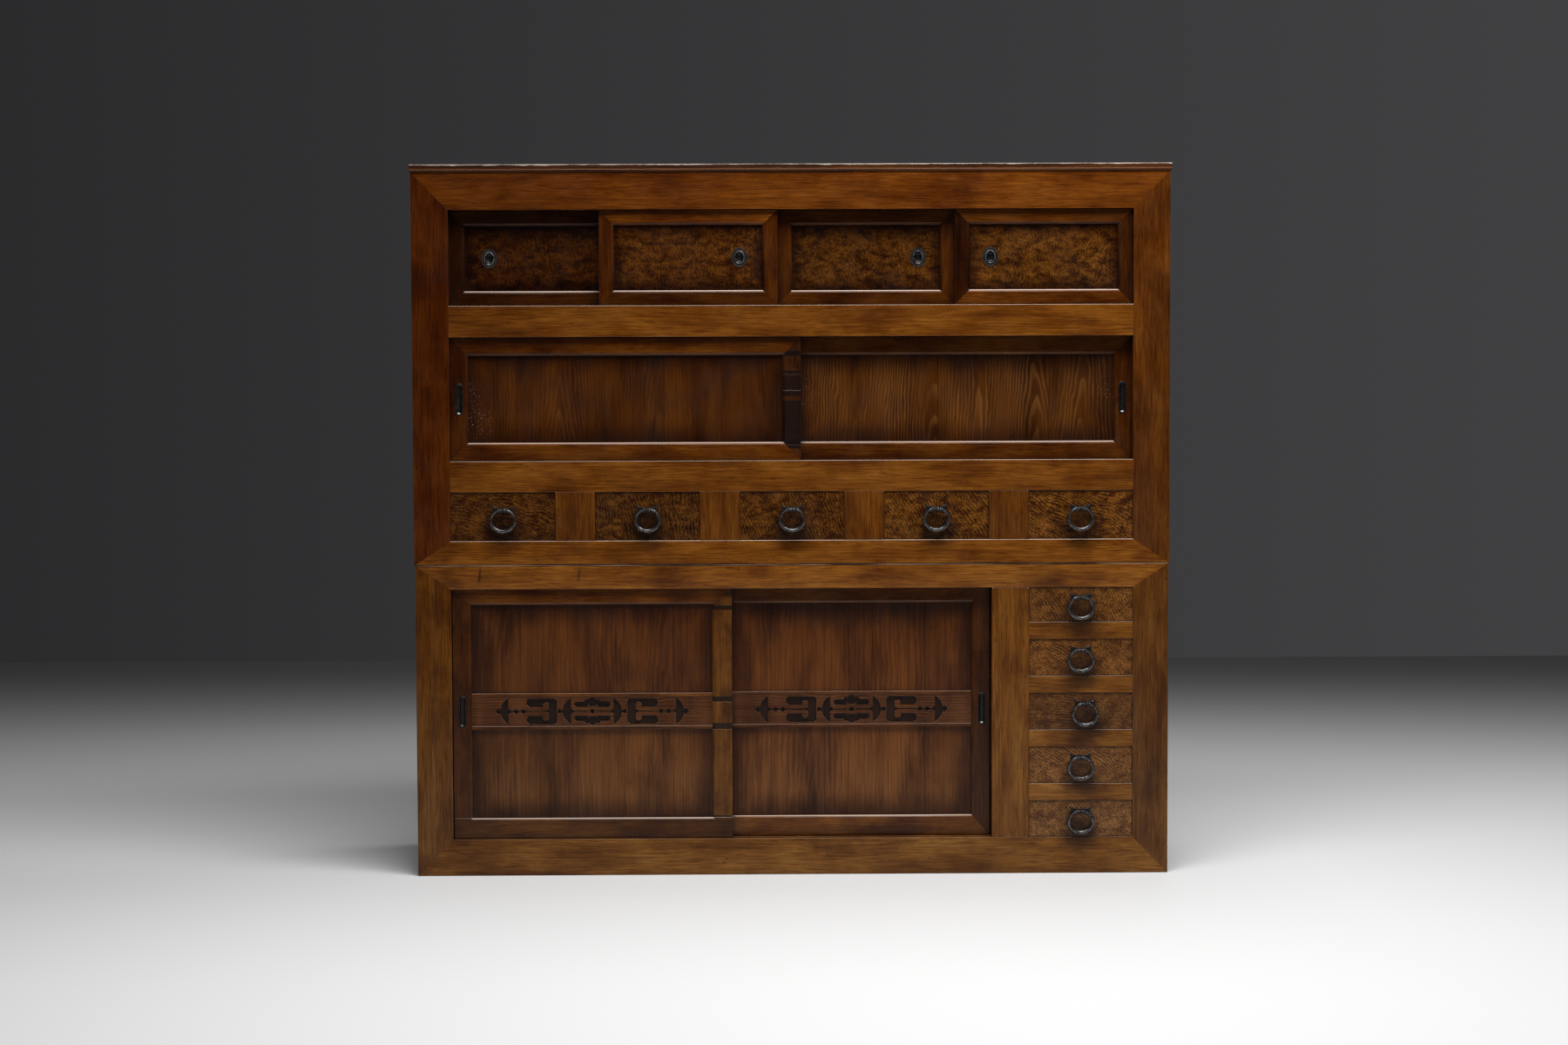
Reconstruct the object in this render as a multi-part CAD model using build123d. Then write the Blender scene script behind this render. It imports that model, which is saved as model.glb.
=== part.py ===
from build123d import *
import math
import os

# A two-part kitchen cabinet. X runs to the right, Y to the back and Z up, in
# millimetres. The origin is on the floor, below the middle of the cabinet's box.
# A "depth" below is always measured backwards from the front face of the case.

# ---------------------------------------------------------------- overall case
CASE_WIDTH = 1760.0
CASE_DEPTH = 450.0
LOWER_STEP = 2.0  # the lower case is this much narrower on each side
LOWER_TOP = 728.0
UPPER_TOP = 1640.0
FRAME_DEPTH = 60.0  # front posts and rails, front to back
SIDE_THICK = 30.0  # side frames, across

CORNICE_BOARD = 12.0
CORNICE_MOULDING = 5.0
CORNICE_OVERHANG = 3.0
MOULDING_WIDTH = 26.0

# ------------------------------------------------------- rows of the front face
OPENING_HALF = 795.0  # half the width between the front posts
UPPER_BOTTOM_RAIL = 57.0
TOP_DRAWER_HEIGHT = 113.5
DRAWER_HEAD_RAIL = 72.0
WIDE_ROW_HEIGHT = 288.0
MIDDLE_RAIL = 72.5
SMALL_ROW_HEIGHT = 222.0

LOWER_BOTTOM_RAIL = 85.0
LOWER_TOP_RAIL = 56.0
SIDE_DRAWER_COLUMN = 242.0
DIVIDER_WIDTH = 87.0
SIDE_DRAWER_HEIGHT = 87.0
SIDE_DRAWER_RAIL = 39.5
SIDE_DRAWER_COUNT = 5
TOP_DRAWER_COUNT = 5
SPACER_WIDTH = 92.0
LEFT_POST_OUTER_BOARD = 44.0

DECK_Z = LOWER_TOP + UPPER_BOTTOM_RAIL
DRAWER_HEAD_Z = DECK_Z + TOP_DRAWER_HEIGHT
WIDE_SILL_Z = DRAWER_HEAD_Z + DRAWER_HEAD_RAIL
WIDE_HEAD_Z = WIDE_SILL_Z + WIDE_ROW_HEIGHT
SMALL_SILL_Z = WIDE_HEAD_Z + MIDDLE_RAIL
SMALL_HEAD_Z = SMALL_SILL_Z + SMALL_ROW_HEIGHT
LOWER_HEAD_Z = LOWER_TOP - LOWER_TOP_RAIL
DIVIDER_RIGHT = OPENING_HALF - SIDE_DRAWER_COLUMN
DIVIDER_LEFT = DIVIDER_RIGHT - DIVIDER_WIDTH
SIDE_DRAWER_PITCH = SIDE_DRAWER_HEIGHT + SIDE_DRAWER_RAIL

# -------------------------------------------------------------- sliding doors
DOOR_THICK = 18.0
FRONT_TRACK = 11.0  # depth of the face of a door in the front track
REAR_TRACK = 33.0
TONGUE_THICK = 8.0
TONGUE_INSET = 5.0  # from the door's face
TOP_TONGUE = 9.0
BOTTOM_TONGUE = 3.0
GROOVE_SLACK = 0.5  # each side of a tongue
TOP_GROOVE = 12.0
BOTTOM_GROOVE = 3.6
DOOR_GAP = 0.8  # above and below a door's body
PANEL_THICK = 5.0
PANEL_INSET = 9.0  # from the door's face
PANEL_GROOVE = 7.0
PANEL_EDGE_GAP = 1.0
CHAMFER_RISE = 5.0  # of the slope round a door's opening, along the member's face
CHAMFER_DEPTH = 3.4

SMALL_DOOR_WIDTH = 414.0
SMALL_DOOR_MEMBER = 34.5
SMALL_DOOR_LEFT_EDGES = (-794.5, -446.0, -32.2, 380.5)
WIDE_DOOR_WIDTH = 816.0
WIDE_DOOR_MEMBER = 42.0
WIDE_DOOR_END_GAP = 0.5
LOWER_DOOR_WIDTH = 652.0
LOWER_DOOR_LEFT_EDGES = (-793.5, -189.0)
LOWER_DOOR_STILE = 43.0
LOWER_DOOR_TOP = 36.0
LOWER_DOOR_BOTTOM = 48.0
LOWER_DOOR_MEETING = 46.0

# Where the boards of a panel meet, as shares of its width, left door then right.
WIDE_PANEL_JOINTS = ((0.16, 0.38, 0.62, 0.80), (0.19, 0.44, 0.60, 0.79))
LOWER_PANEL_JOINTS = ((0.21, 0.44, 0.63, 0.83), (0.17, 0.39, 0.53, 0.80))

FRET_CENTRE_Z = 384.5
FRET_HEIGHT = 84.0
FRET_BEAD = 7.0
FRET_THICK = 6.0
FRET_BEAD_PROUD = 1.0

# The pierced pattern, measured from the middle of the band.
SLIT_HALF = 1.2
TIP_HOLE = (-218.6, 6.5)  # x, radius
OUTER_MOON = (-196.2, 31.3, 18.3)  # x of the flat side, half chord, bulge
OUTER_MOUTH = (-197.0, -189.0, 7.0)  # wide end, narrow end, half height
LONG_SLIT = (-192.0, -104.0)
LOZENGES = (-178.3, -161.4)
LOZENGE_HALF = (7.5, 6.6)
ARM = (-153.1, -90.0, 10.0, 30.2, 8.5)  # x0, x1, y0, y1, corner radius
SPINE = (-102.0, -82.5, -30.2, 30.2, 8.0)
BIG_CURL = (-108.7, 14.0, 7.4)  # x, y, radius
SMALL_CURL = (-109.5, 8.2, 6.6)
CURL_MOUTH = (-101.5, -110.0, 5.0)
KITE = ((-80.5, 3.0), (-77.5, 5.6), (-68.0, 1.8), (-68.0, -1.8), (-77.5, -5.6), (-80.5, -3.0))
INNER_MOON = (-50.1, 30.6, 19.1)
INNER_MOUTH = (-51.0, -42.5, 8.0)
SHORT_SLIT = (-50.0, -11.0)
WING = (-41.8, 41.8, 10.0, 23.0, 6.3)
MIDDLE_LOBE = (0.0, 25.3, 8.2)
SIDE_LOBE = (12.5, 22.5, 6.3)
WING_NOTCH = ((13.0, 9.0), (9.5, 15.8), (6.0, 9.0))
CENTRE_RING = (5.6, 12.4)  # radius of the hole, radius of the wood round it

# --------------------------------------------------------------- iron hardware
OVAL_FLANGE = (19.0, 23.0)  # half width, half height
OVAL_RIM = (11.5, 15.5)
OVAL_SLEEVE = (10.6, 13.6)
OVAL_MOUTH = (9.5, 12.5)
OVAL_FLANGE_THICK = 2.0
OVAL_RIM_THICK = 1.5
OVAL_DEPTH = 8.0
CUP_FLOOR = 1.0
CUP_SLACK = 0.15
OVAL_PLACES = (91.0, 326.0, 328.6, 83.0)  # from each door's left end to its cup

SLOT_FLANGE = (75.0, 18.5)  # length, width
SLOT_SLEEVE = (71.5, 15.0)
SLOT_MOUTH = (69.0, 12.5)
SLOT_FLANGE_THICK = 1.5
SLOT_DEPTH = 8.0
LOWER_RIGHT_SLOT_SHIFT = 3.0  # to the right of the middle of its stile

PIVOT_OUT = 8.5  # ring pivot, in front of the drawer's face
PLATE_THICK = 1.5
EYE_MAJOR = 4.6
EYE_WIRE = 1.3
PIN_HALF_HEIGHT = 2.6  # of the pin's two legs together, where they pass the wood
PLATE_HIGH = (7.0, 4.8)  # top edge of the back plate beside its ears and in the middle
PLATE_LOW = (-8.5, -5.5)
EAR_START = 18.0
EAR = ((25.5, 11.5), (23.2, 3.0), (25.0, -6.0))
BAR_RADIUS = 2.9
BAR_HALF = 10.5
BEAD_PLACES = (4.6, 8.8)
BEAD_MAJOR = 2.2
BEAD_MINOR = 1.6
RING_HALF_WIDTH = 28.3  # to the middle of the iron
RING_HALF_HEIGHT = 26.0
RING_BOTTOM_RADIUS = 5.25
RING_SECTIONS = 8
BAR_OVERLAP = 0.5  # of the bar's ends inside the ring
TOP_PIVOT_RISE = 15.0  # pivot above the middle of the drawer
SIDE_PIVOT_RISE = 17.0
SIDE_PULL_SHIFTS = (0.0, 0.0, 10.0, 0.0, 0.0)  # to the right of the middle, top drawer first
PIN_LEG = 12.0
PIN_LEG_THICK = 1.2
NAIL_PLACE = (20.5, 4.0)
NAIL_SHANK = 1.6
NAIL_LENGTH = 9.0
NAIL_HEAD_RADIUS = 1.9

# ---------------------------------------------------------------- inner pieces
DRAWER_FRONT = 20.0
DRAWER_INSET = 3.0  # of the drawer's face behind the case's face
DRAWER_SIDE = 10.0
DRAWER_BOTTOM = 6.0
DRAWER_LENGTH = 420.0
DRAWER_SLACK = 0.7
SIDE_DROP = 6.0  # sides are this much lower than the front
BACK_DROP = 12.0

BACK_BOARD = 9.0
BACK_EDGE = 15.0
BACK_BOARD_COUNT = 8
REAR_RAIL = (20.0, 50.0)  # thickness, height
REAR_POST_DEPTH = 55.0
SIDE_RAIL_HEIGHT = 70.0
SIDE_PANEL = 8.0
SIDE_PANEL_INSET = 8.0
SHELF = 12.0
HOUSING = 8.0  # how far shelves go into the frames
TENON = 30.0
SHORT_TENON = 15.0
TENON_SHOULDER = 10.0
TENON_DEPTHS = (18.0, 48.0)
GUIDE_WIDTH = 16.0
GUIDE_HEIGHT = 25.0
STOP_THICK = 14.0
MIDDLE_SHELF_Z = 378.0
PARTITION = 18.0

# The rings and their eyes stand out in front of the case, so the case is moved
# back by half of that and the origin lies in the middle of the whole box.
FRONT_REACH = PIVOT_OUT - DRAWER_INSET + EYE_MAJOR + EYE_WIRE
FRONT_Y = (FRONT_REACH - CASE_DEPTH) / 2
HALF_WIDTH = CASE_WIDTH / 2
LOWER_HALF = HALF_WIDTH - LOWER_STEP
BACK_RAIL_DEPTH = CASE_DEPTH - BACK_BOARD
INSIDE_HALF = HALF_WIDTH - SIDE_THICK
LOWER_INSIDE = LOWER_HALF - SIDE_THICK


def board(x0, x1, d0, d1, z0, z1):
    """A squared board between two x, two depths and two heights."""
    centre = ((x0 + x1) / 2, FRONT_Y + (d0 + d1) / 2, (z0 + z1) / 2)
    return Pos(*centre) * Box(x1 - x0, d1 - d0, z1 - z0)


def face_plane(depth, x=0.0, z=0.0):
    """A plane that faces the front, with local x to the right and y up."""
    origin = (x, FRONT_Y + depth, z)
    return Plane(origin=origin, x_dir=(1, 0, 0), z_dir=(0, -1, 0))


def sunk(sketch, depth, thickness, x=0.0, z=0.0):
    """A front-facing sketch pushed backwards from a depth."""
    return extrude(face_plane(depth, x, z) * sketch, amount=thickness, dir=(0, 1, 0))


def plate(corners, d0, d1):
    """A board whose outline is given by (x, z) corners."""
    return sunk(Polygon(*corners, align=None), d0, d1 - d0)


def mirrored_x(solids):
    """The same pieces on the other side of the cabinet."""
    return [mirror(solid, about=Plane.YZ) for solid in solids]


def less(solid, cutters):
    """A solid with several cutters taken out of it."""
    for cutter in cutters:
        solid = solid - cutter
    return solid


def write_node(name, pieces):
    """Writes one node from its separate solids."""
    solids = []
    for piece in pieces:
        solids.extend(piece.solids())
    group = Compound(children=solids)
    group.label = name
    export_step(group, os.path.join("parts", name + ".step"))


# ------------------------------------------------------------------ front frame
def door_grooves(x0, x1, z, height, upward):
    """The two track grooves cut into a head (upward) or a sill."""
    cutters = []
    for track in (FRONT_TRACK, REAR_TRACK):
        d0 = track + TONGUE_INSET - GROOVE_SLACK
        d1 = track + TONGUE_INSET + TONGUE_THICK + GROOVE_SLACK
        if upward:
            cutters.append(board(x0, x1, d0, d1, z, z + height))
        else:
            cutters.append(board(x0, x1, d0, d1, z - height, z))
    return cutters


def stub_tenon(x0, x1, z0, z1):
    """A tenon, or the mortise for it, inside the frame's thickness."""
    return board(x0, x1, *TENON_DEPTHS, z0 + TENON_SHOULDER, z1 - TENON_SHOULDER)


def rail_tenons(x_left, x_right, z0, z1, length):
    """Tenons at both ends of a rail."""
    return [
        stub_tenon(x_left - length, x_left, z0, z1),
        stub_tenon(x_right, x_right + length, z0, z1),
    ]


def side_rail_levels(levels):
    """Tenons of the side rails where they enter the front and rear posts."""
    tenons = []
    for z0, z1 in levels:
        x0 = INSIDE_HALF + TENON_SHOULDER
        x1 = HALF_WIDTH - TENON_SHOULDER
        front = FRAME_DEPTH - SHORT_TENON
        back = CASE_DEPTH - REAR_POST_DEPTH + SHORT_TENON
        tenons.append(board(x0, x1, front, back, z0 + TENON_SHOULDER, z1 - TENON_SHOULDER))
    return tenons


UPPER_SIDE_LEVELS = (
    (LOWER_TOP, DECK_Z),
    (DRAWER_HEAD_Z, WIDE_SILL_Z),
    (WIDE_HEAD_Z, SMALL_SILL_Z),
    (UPPER_TOP - SIDE_RAIL_HEIGHT, UPPER_TOP),
)
LOWER_SIDE_LEVELS = (
    (0.0, LOWER_BOTTOM_RAIL),
    (MIDDLE_SHELF_Z - SIDE_RAIL_HEIGHT, MIDDLE_SHELF_Z),
    (LOWER_TOP - SIDE_RAIL_HEIGHT, LOWER_TOP),
)
UPPER_SHELF_TOPS = (DECK_Z, WIDE_SILL_Z, SMALL_SILL_Z)
LOWER_SHELF_TOPS = (LOWER_BOTTOM_RAIL, LOWER_TOP)


def shelf_board(z_top, inside_half):
    """One shelf, let into the front rail and the side frames."""
    half = inside_half + HOUSING
    return board(-half, half, FRAME_DEPTH - HOUSING, BACK_RAIL_DEPTH, z_top - SHELF, z_top)


def upper_front_stiles():
    """Left and right posts of the upper front."""
    outline = [
        (-HALF_WIDTH, LOWER_TOP),
        (-OPENING_HALF, DECK_Z),
        (-OPENING_HALF, SMALL_HEAD_Z),
        (-HALF_WIDTH, UPPER_TOP),
    ]
    post = plate(outline, 0.0, FRAME_DEPTH)
    mortises = [
        stub_tenon(-OPENING_HALF - TENON, -OPENING_HALF, DRAWER_HEAD_Z, WIDE_SILL_Z),
        stub_tenon(-OPENING_HALF - TENON, -OPENING_HALF, WIDE_HEAD_Z, SMALL_SILL_Z),
    ]
    mortises += mirrored_x(upper_side_cutters())
    mortises += [shelf_board(z, INSIDE_HALF) for z in UPPER_SHELF_TOPS]
    post = less(post, mortises)
    return [post] + mirrored_x([post])


def upper_side_cutters():
    """What the right-hand side frame and its panels take out of the front frame."""
    return side_rail_levels(UPPER_SIDE_LEVELS) + side_panels(UPPER_SIDE_LEVELS, 0.0)


def lower_side_cutters():
    """The same for the narrower lower case."""
    cutters = side_rail_levels(LOWER_SIDE_LEVELS) + side_panels(LOWER_SIDE_LEVELS, 0.0)
    return shifted(cutters, -LOWER_STEP)


def upper_front_rails():
    """The long rails of the upper front with their track grooves."""
    left, right = -OPENING_HALF, OPENING_HALF
    side_cutters = upper_side_cutters() + mirrored_x(upper_side_cutters())
    top_outline = [
        (-HALF_WIDTH, UPPER_TOP), (HALF_WIDTH, UPPER_TOP), (right, SMALL_HEAD_Z), (left, SMALL_HEAD_Z)
    ]
    top = plate(top_outline, 0.0, FRAME_DEPTH)
    top = less(top, door_grooves(left, right, SMALL_HEAD_Z, TOP_GROOVE, True) + side_cutters)

    middle = board(left, right, 0.0, FRAME_DEPTH, WIDE_HEAD_Z, SMALL_SILL_Z)
    for tenon in rail_tenons(left, right, WIDE_HEAD_Z, SMALL_SILL_Z, TENON):
        middle = middle + tenon
    middle = less(middle, door_grooves(left, right, SMALL_SILL_Z, BOTTOM_GROOVE, False))
    middle = less(middle, door_grooves(left, right, WIDE_HEAD_Z, TOP_GROOVE, True))
    middle = middle - shelf_board(SMALL_SILL_Z, INSIDE_HALF)

    drawer_head = board(left, right, 0.0, FRAME_DEPTH, DRAWER_HEAD_Z, WIDE_SILL_Z)
    for tenon in rail_tenons(left, right, DRAWER_HEAD_Z, WIDE_SILL_Z, TENON):
        drawer_head = drawer_head + tenon
    drawer_head = less(drawer_head, door_grooves(left, right, WIDE_SILL_Z, BOTTOM_GROOVE, False))
    drawer_head = drawer_head - shelf_board(WIDE_SILL_Z, INSIDE_HALF)

    bottom_outline = [(-HALF_WIDTH, LOWER_TOP), (HALF_WIDTH, LOWER_TOP), (right, DECK_Z), (left, DECK_Z)]
    bottom = plate(bottom_outline, 0.0, FRAME_DEPTH)
    bottom = less(bottom, side_cutters + [shelf_board(DECK_Z, INSIDE_HALF)])
    return [top, middle, drawer_head, bottom]


def spacer_edges():
    """Left and right edges of the blocks between the top drawers."""
    spacers = TOP_DRAWER_COUNT - 1
    bay = (2 * OPENING_HALF - spacers * SPACER_WIDTH) / TOP_DRAWER_COUNT
    edges = []
    for index in range(spacers):
        x0 = -OPENING_HALF + (index + 1) * bay + index * SPACER_WIDTH
        edges.append((x0, x0 + SPACER_WIDTH))
    return edges


def top_drawer_bays():
    """Left and right edges of the openings for the top drawers."""
    walls = [-OPENING_HALF]
    for x0, x1 in spacer_edges():
        walls += [x0, x1]
    walls.append(OPENING_HALF)
    return list(zip(walls[0::2], walls[1::2]))


def upper_drawer_spacers():
    """Blocks between the top drawers, their guides and the stop strip."""
    pieces = []
    for x0, x1 in spacer_edges():
        pieces.append(board(x0, x1, 0.0, FRAME_DEPTH - HOUSING, DECK_Z, DRAWER_HEAD_Z))
    stop_depth = BACK_RAIL_DEPTH - STOP_THICK
    z0, z1 = DECK_Z, DECK_Z + GUIDE_HEIGHT
    for bay_left, bay_right in top_drawer_bays():
        for x0 in (bay_left - GUIDE_WIDTH, bay_right):
            pieces.append(board(x0, x0 + GUIDE_WIDTH, FRAME_DEPTH, stop_depth, z0, z1))
    pieces.append(board(-INSIDE_HALF, INSIDE_HALF, stop_depth, BACK_RAIL_DEPTH, z0, z1))
    return pieces


# ------------------------------------------------------------------ side frames
def side_frame(levels, z0, z1, shelf_tops):
    """Rear post and rails of the right-hand side of a case."""
    tenons = side_rail_levels(levels)
    panels = side_panels(levels, 0.0)
    shelves = [shelf_board(z, INSIDE_HALF) for z in shelf_tops]
    rebate = board(INSIDE_HALF, HALF_WIDTH - BACK_EDGE, BACK_RAIL_DEPTH, CASE_DEPTH, z0, z1)
    post = board(INSIDE_HALF, HALF_WIDTH, CASE_DEPTH - REAR_POST_DEPTH, CASE_DEPTH, z0, z1)
    pieces = [less(post, tenons + panels + shelves + [rebate])]
    for (low, high), tenon in zip(levels, tenons):
        rail = board(INSIDE_HALF, HALF_WIDTH, FRAME_DEPTH, CASE_DEPTH - REAR_POST_DEPTH, low, high)
        pieces.append(less(rail + tenon, panels + shelves))
    return pieces


def side_panels(levels, gap):
    """Thin boards in grooves between the rails, smaller than the grooves by a gap."""
    pieces = []
    x1 = HALF_WIDTH - SIDE_PANEL_INSET
    for (_, low), (high, _) in zip(levels[:-1], levels[1:]):
        panel = board(
            x1 - SIDE_PANEL,
            x1,
            FRAME_DEPTH - PANEL_GROOVE + gap,
            CASE_DEPTH - REAR_POST_DEPTH + PANEL_GROOVE - gap,
            low - PANEL_GROOVE + gap,
            high + PANEL_GROOVE - gap,
        )
        pieces.append(panel)
    return pieces


def shifted(pieces, dx):
    """Pieces moved sideways, for the narrower lower case."""
    return [Pos(dx, 0, 0) * piece for piece in pieces]


def upper_side_frames():
    """Rear posts and side rails of both sides."""
    right = side_frame(UPPER_SIDE_LEVELS, LOWER_TOP, UPPER_TOP, UPPER_SHELF_TOPS)
    return right + mirrored_x(right)


def upper_side_panels():
    """The thin side panels of both sides."""
    right = side_panels(UPPER_SIDE_LEVELS, PANEL_EDGE_GAP)
    return right + mirrored_x(right)


def lower_side_walls():
    """Rear posts, rails and panels of both lower sides."""
    levels = LOWER_SIDE_LEVELS
    right = side_frame(levels, 0.0, LOWER_TOP, LOWER_SHELF_TOPS)
    right += side_panels(levels, PANEL_EDGE_GAP)
    right = shifted(right, -LOWER_STEP)
    return right + mirrored_x(right)


# ------------------------------------------------------------- backs and shelves
def back_boards(half, z0, z1):
    """Vertical boards nailed into the rebates of the rear posts."""
    width = 2 * (half - BACK_EDGE) / BACK_BOARD_COUNT
    pieces = []
    for index in range(BACK_BOARD_COUNT):
        x0 = -half + BACK_EDGE + index * width
        pieces.append(board(x0, x0 + width, BACK_RAIL_DEPTH, CASE_DEPTH, z0, z1))
    return pieces


def rear_rail(inside_half, z_top, z_floor):
    """A rail under the back edge of a shelf, no lower than the case's floor."""
    thick, height = REAR_RAIL
    z0 = max(z_top - height, z_floor)
    return board(-inside_half, inside_half, BACK_RAIL_DEPTH - thick, BACK_RAIL_DEPTH, z0, z_top)


def upper_back_boards():
    """Back boards of the upper case with the rails under its shelves."""
    pieces = back_boards(HALF_WIDTH, LOWER_TOP, UPPER_TOP)
    for z_top in UPPER_SHELF_TOPS:
        pieces.append(rear_rail(INSIDE_HALF, z_top - SHELF, LOWER_TOP))
    pieces.append(rear_rail(INSIDE_HALF, UPPER_TOP, LOWER_TOP))
    return pieces


def upper_shelves():
    """The shelves of the upper case."""
    return [shelf_board(z_top, INSIDE_HALF) for z_top in UPPER_SHELF_TOPS]


def lower_rear_rails():
    """The rear rails under the two outer shelves of the lower case."""
    return [rear_rail(LOWER_INSIDE, z_top - SHELF, 0.0) for z_top in LOWER_SHELF_TOPS]


def lower_back_boards():
    """Back boards of the lower case with their rails."""
    return back_boards(LOWER_HALF, 0.0, LOWER_TOP) + lower_rear_rails()


def lower_shelves():
    """The shelves of the lower case, the middle one on ledgers."""
    left = -LOWER_INSIDE
    right = DIVIDER_RIGHT - PARTITION
    z0 = MIDDLE_SHELF_Z
    pieces = [shelf_board(z_top, LOWER_INSIDE) for z_top in LOWER_SHELF_TOPS]
    pieces.append(board(left, right, FRAME_DEPTH, BACK_RAIL_DEPTH, z0, z0 + SHELF))
    for x0 in (left, right - GUIDE_WIDTH):
        ledger = board(x0, x0 + GUIDE_WIDTH, FRAME_DEPTH, BACK_RAIL_DEPTH, z0 - GUIDE_HEIGHT, z0)
        pieces.append(ledger)
    return pieces


def cornice_board():
    """The top board with its three mitred mouldings."""
    z0 = UPPER_TOP
    z1 = z0 + CORNICE_MOULDING
    out = HALF_WIDTH + CORNICE_OVERHANG
    inner = out - MOULDING_WIDTH
    front = FRONT_Y - CORNICE_OVERHANG
    behind = front + MOULDING_WIDTH
    back = FRONT_Y + CASE_DEPTH
    plan = Plane.XY.offset(z0)
    front_outline = Polygon((-out, front), (out, front), (inner, behind), (-inner, behind), align=None)
    side_outline = Polygon((out, front), (out, back), (inner, back), (inner, behind), align=None)
    filling_corners = ((-inner, behind), (inner, behind), (inner, back), (-inner, back))
    filling_outline = Polygon(*filling_corners, align=None)
    front_strip = extrude(plan * front_outline, amount=CORNICE_MOULDING)
    side_strip = extrude(plan * side_outline, amount=CORNICE_MOULDING)
    filling = extrude(plan * filling_outline, amount=CORNICE_MOULDING)
    top = board(-out, out, -CORNICE_OVERHANG, CASE_DEPTH, z1, z1 + CORNICE_BOARD)
    return [front_strip, side_strip, mirror(side_strip, about=Plane.YZ), filling, top]


# ------------------------------------------------------------- lower front frame
def side_drawer_floor(index):
    """Height of the rail that carries a side drawer, counted from the bottom."""
    return LOWER_BOTTOM_RAIL + index * SIDE_DRAWER_PITCH


def side_drawer_rails():
    """Heights of the rails between the side drawers."""
    rails = []
    for index in range(1, SIDE_DRAWER_COUNT):
        top = side_drawer_floor(index)
        rails.append((top - SIDE_DRAWER_RAIL, top))
    return rails


def side_rail_tenons():
    """Short tenons at both ends of the rails between the side drawers."""
    tenons = []
    for z0, z1 in side_drawer_rails():
        tenons += rail_tenons(DIVIDER_RIGHT, OPENING_HALF, z0, z1, SHORT_TENON)
    return tenons


def lower_post(side):
    """The outline of a lower front post, side being -1 or 1."""
    return [
        (side * LOWER_HALF, 0.0),
        (side * OPENING_HALF, LOWER_BOTTOM_RAIL),
        (side * OPENING_HALF, LOWER_HEAD_Z),
        (side * LOWER_HALF, LOWER_TOP),
    ]


def lower_front_stiles():
    """Left post of two boards, right post and divider post."""
    shelves = [shelf_board(z, LOWER_INSIDE) for z in LOWER_SHELF_TOPS]
    side_cutters = lower_side_cutters()
    left = less(plate(lower_post(-1), 0.0, FRAME_DEPTH), mirrored_x(side_cutters) + shelves)
    joint = -LOWER_HALF + LEFT_POST_OUTER_BOARD
    outer = left & board(-LOWER_HALF, joint, 0.0, FRAME_DEPTH, 0.0, LOWER_TOP)
    inner = left & board(joint, -OPENING_HALF, 0.0, FRAME_DEPTH, 0.0, LOWER_TOP)
    right = plate(lower_post(1), 0.0, FRAME_DEPTH)
    right = less(right, side_cutters + side_rail_tenons() + shelves)
    divider = board(DIVIDER_LEFT, DIVIDER_RIGHT, 0.0, FRAME_DEPTH, LOWER_BOTTOM_RAIL, LOWER_HEAD_Z)
    for tenon in divider_tenons():
        divider = divider + tenon
    divider = less(divider, side_rail_tenons())
    return [outer, inner, right, divider]


def divider_tenons():
    """Tenons of the divider post in the top and bottom rails."""
    x0 = DIVIDER_LEFT + TENON_SHOULDER
    x1 = DIVIDER_RIGHT - TENON_SHOULDER
    low = LOWER_BOTTOM_RAIL
    high = LOWER_HEAD_Z
    return [
        board(x0, x1, *TENON_DEPTHS, low - TENON, low),
        board(x0, x1, *TENON_DEPTHS, high, high + TENON),
    ]


def lower_front_rails():
    """Top and bottom rails, and the short rails between the side drawers."""
    left, right = -OPENING_HALF, OPENING_HALF
    shelves = [shelf_board(z, LOWER_INSIDE) for z in LOWER_SHELF_TOPS]
    top_outline = [
        (-LOWER_HALF, LOWER_TOP), (LOWER_HALF, LOWER_TOP), (right, LOWER_HEAD_Z), (left, LOWER_HEAD_Z)
    ]
    top = plate(top_outline, 0.0, FRAME_DEPTH)
    top = less(top, door_grooves(left, DIVIDER_LEFT, LOWER_HEAD_Z, TOP_GROOVE, True))
    bottom_outline = [
        (-LOWER_HALF, 0.0), (LOWER_HALF, 0.0), (right, LOWER_BOTTOM_RAIL), (left, LOWER_BOTTOM_RAIL)
    ]
    bottom = plate(bottom_outline, 0.0, FRAME_DEPTH)
    bottom = less(bottom, door_grooves(left, DIVIDER_LEFT, LOWER_BOTTOM_RAIL, BOTTOM_GROOVE, False))
    pieces = []
    side_cutters = lower_side_cutters() + mirrored_x(lower_side_cutters())
    for rail in (top, bottom):
        pieces.append(less(rail, shelves + divider_tenons() + side_cutters))
    for z0, z1 in side_drawer_rails():
        rail = board(DIVIDER_RIGHT, right, 0.0, FRAME_DEPTH, z0, z1)
        for tenon in rail_tenons(DIVIDER_RIGHT, right, z0, z1, SHORT_TENON):
            rail = rail + tenon
        pieces.append(rail)
    return pieces


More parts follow.
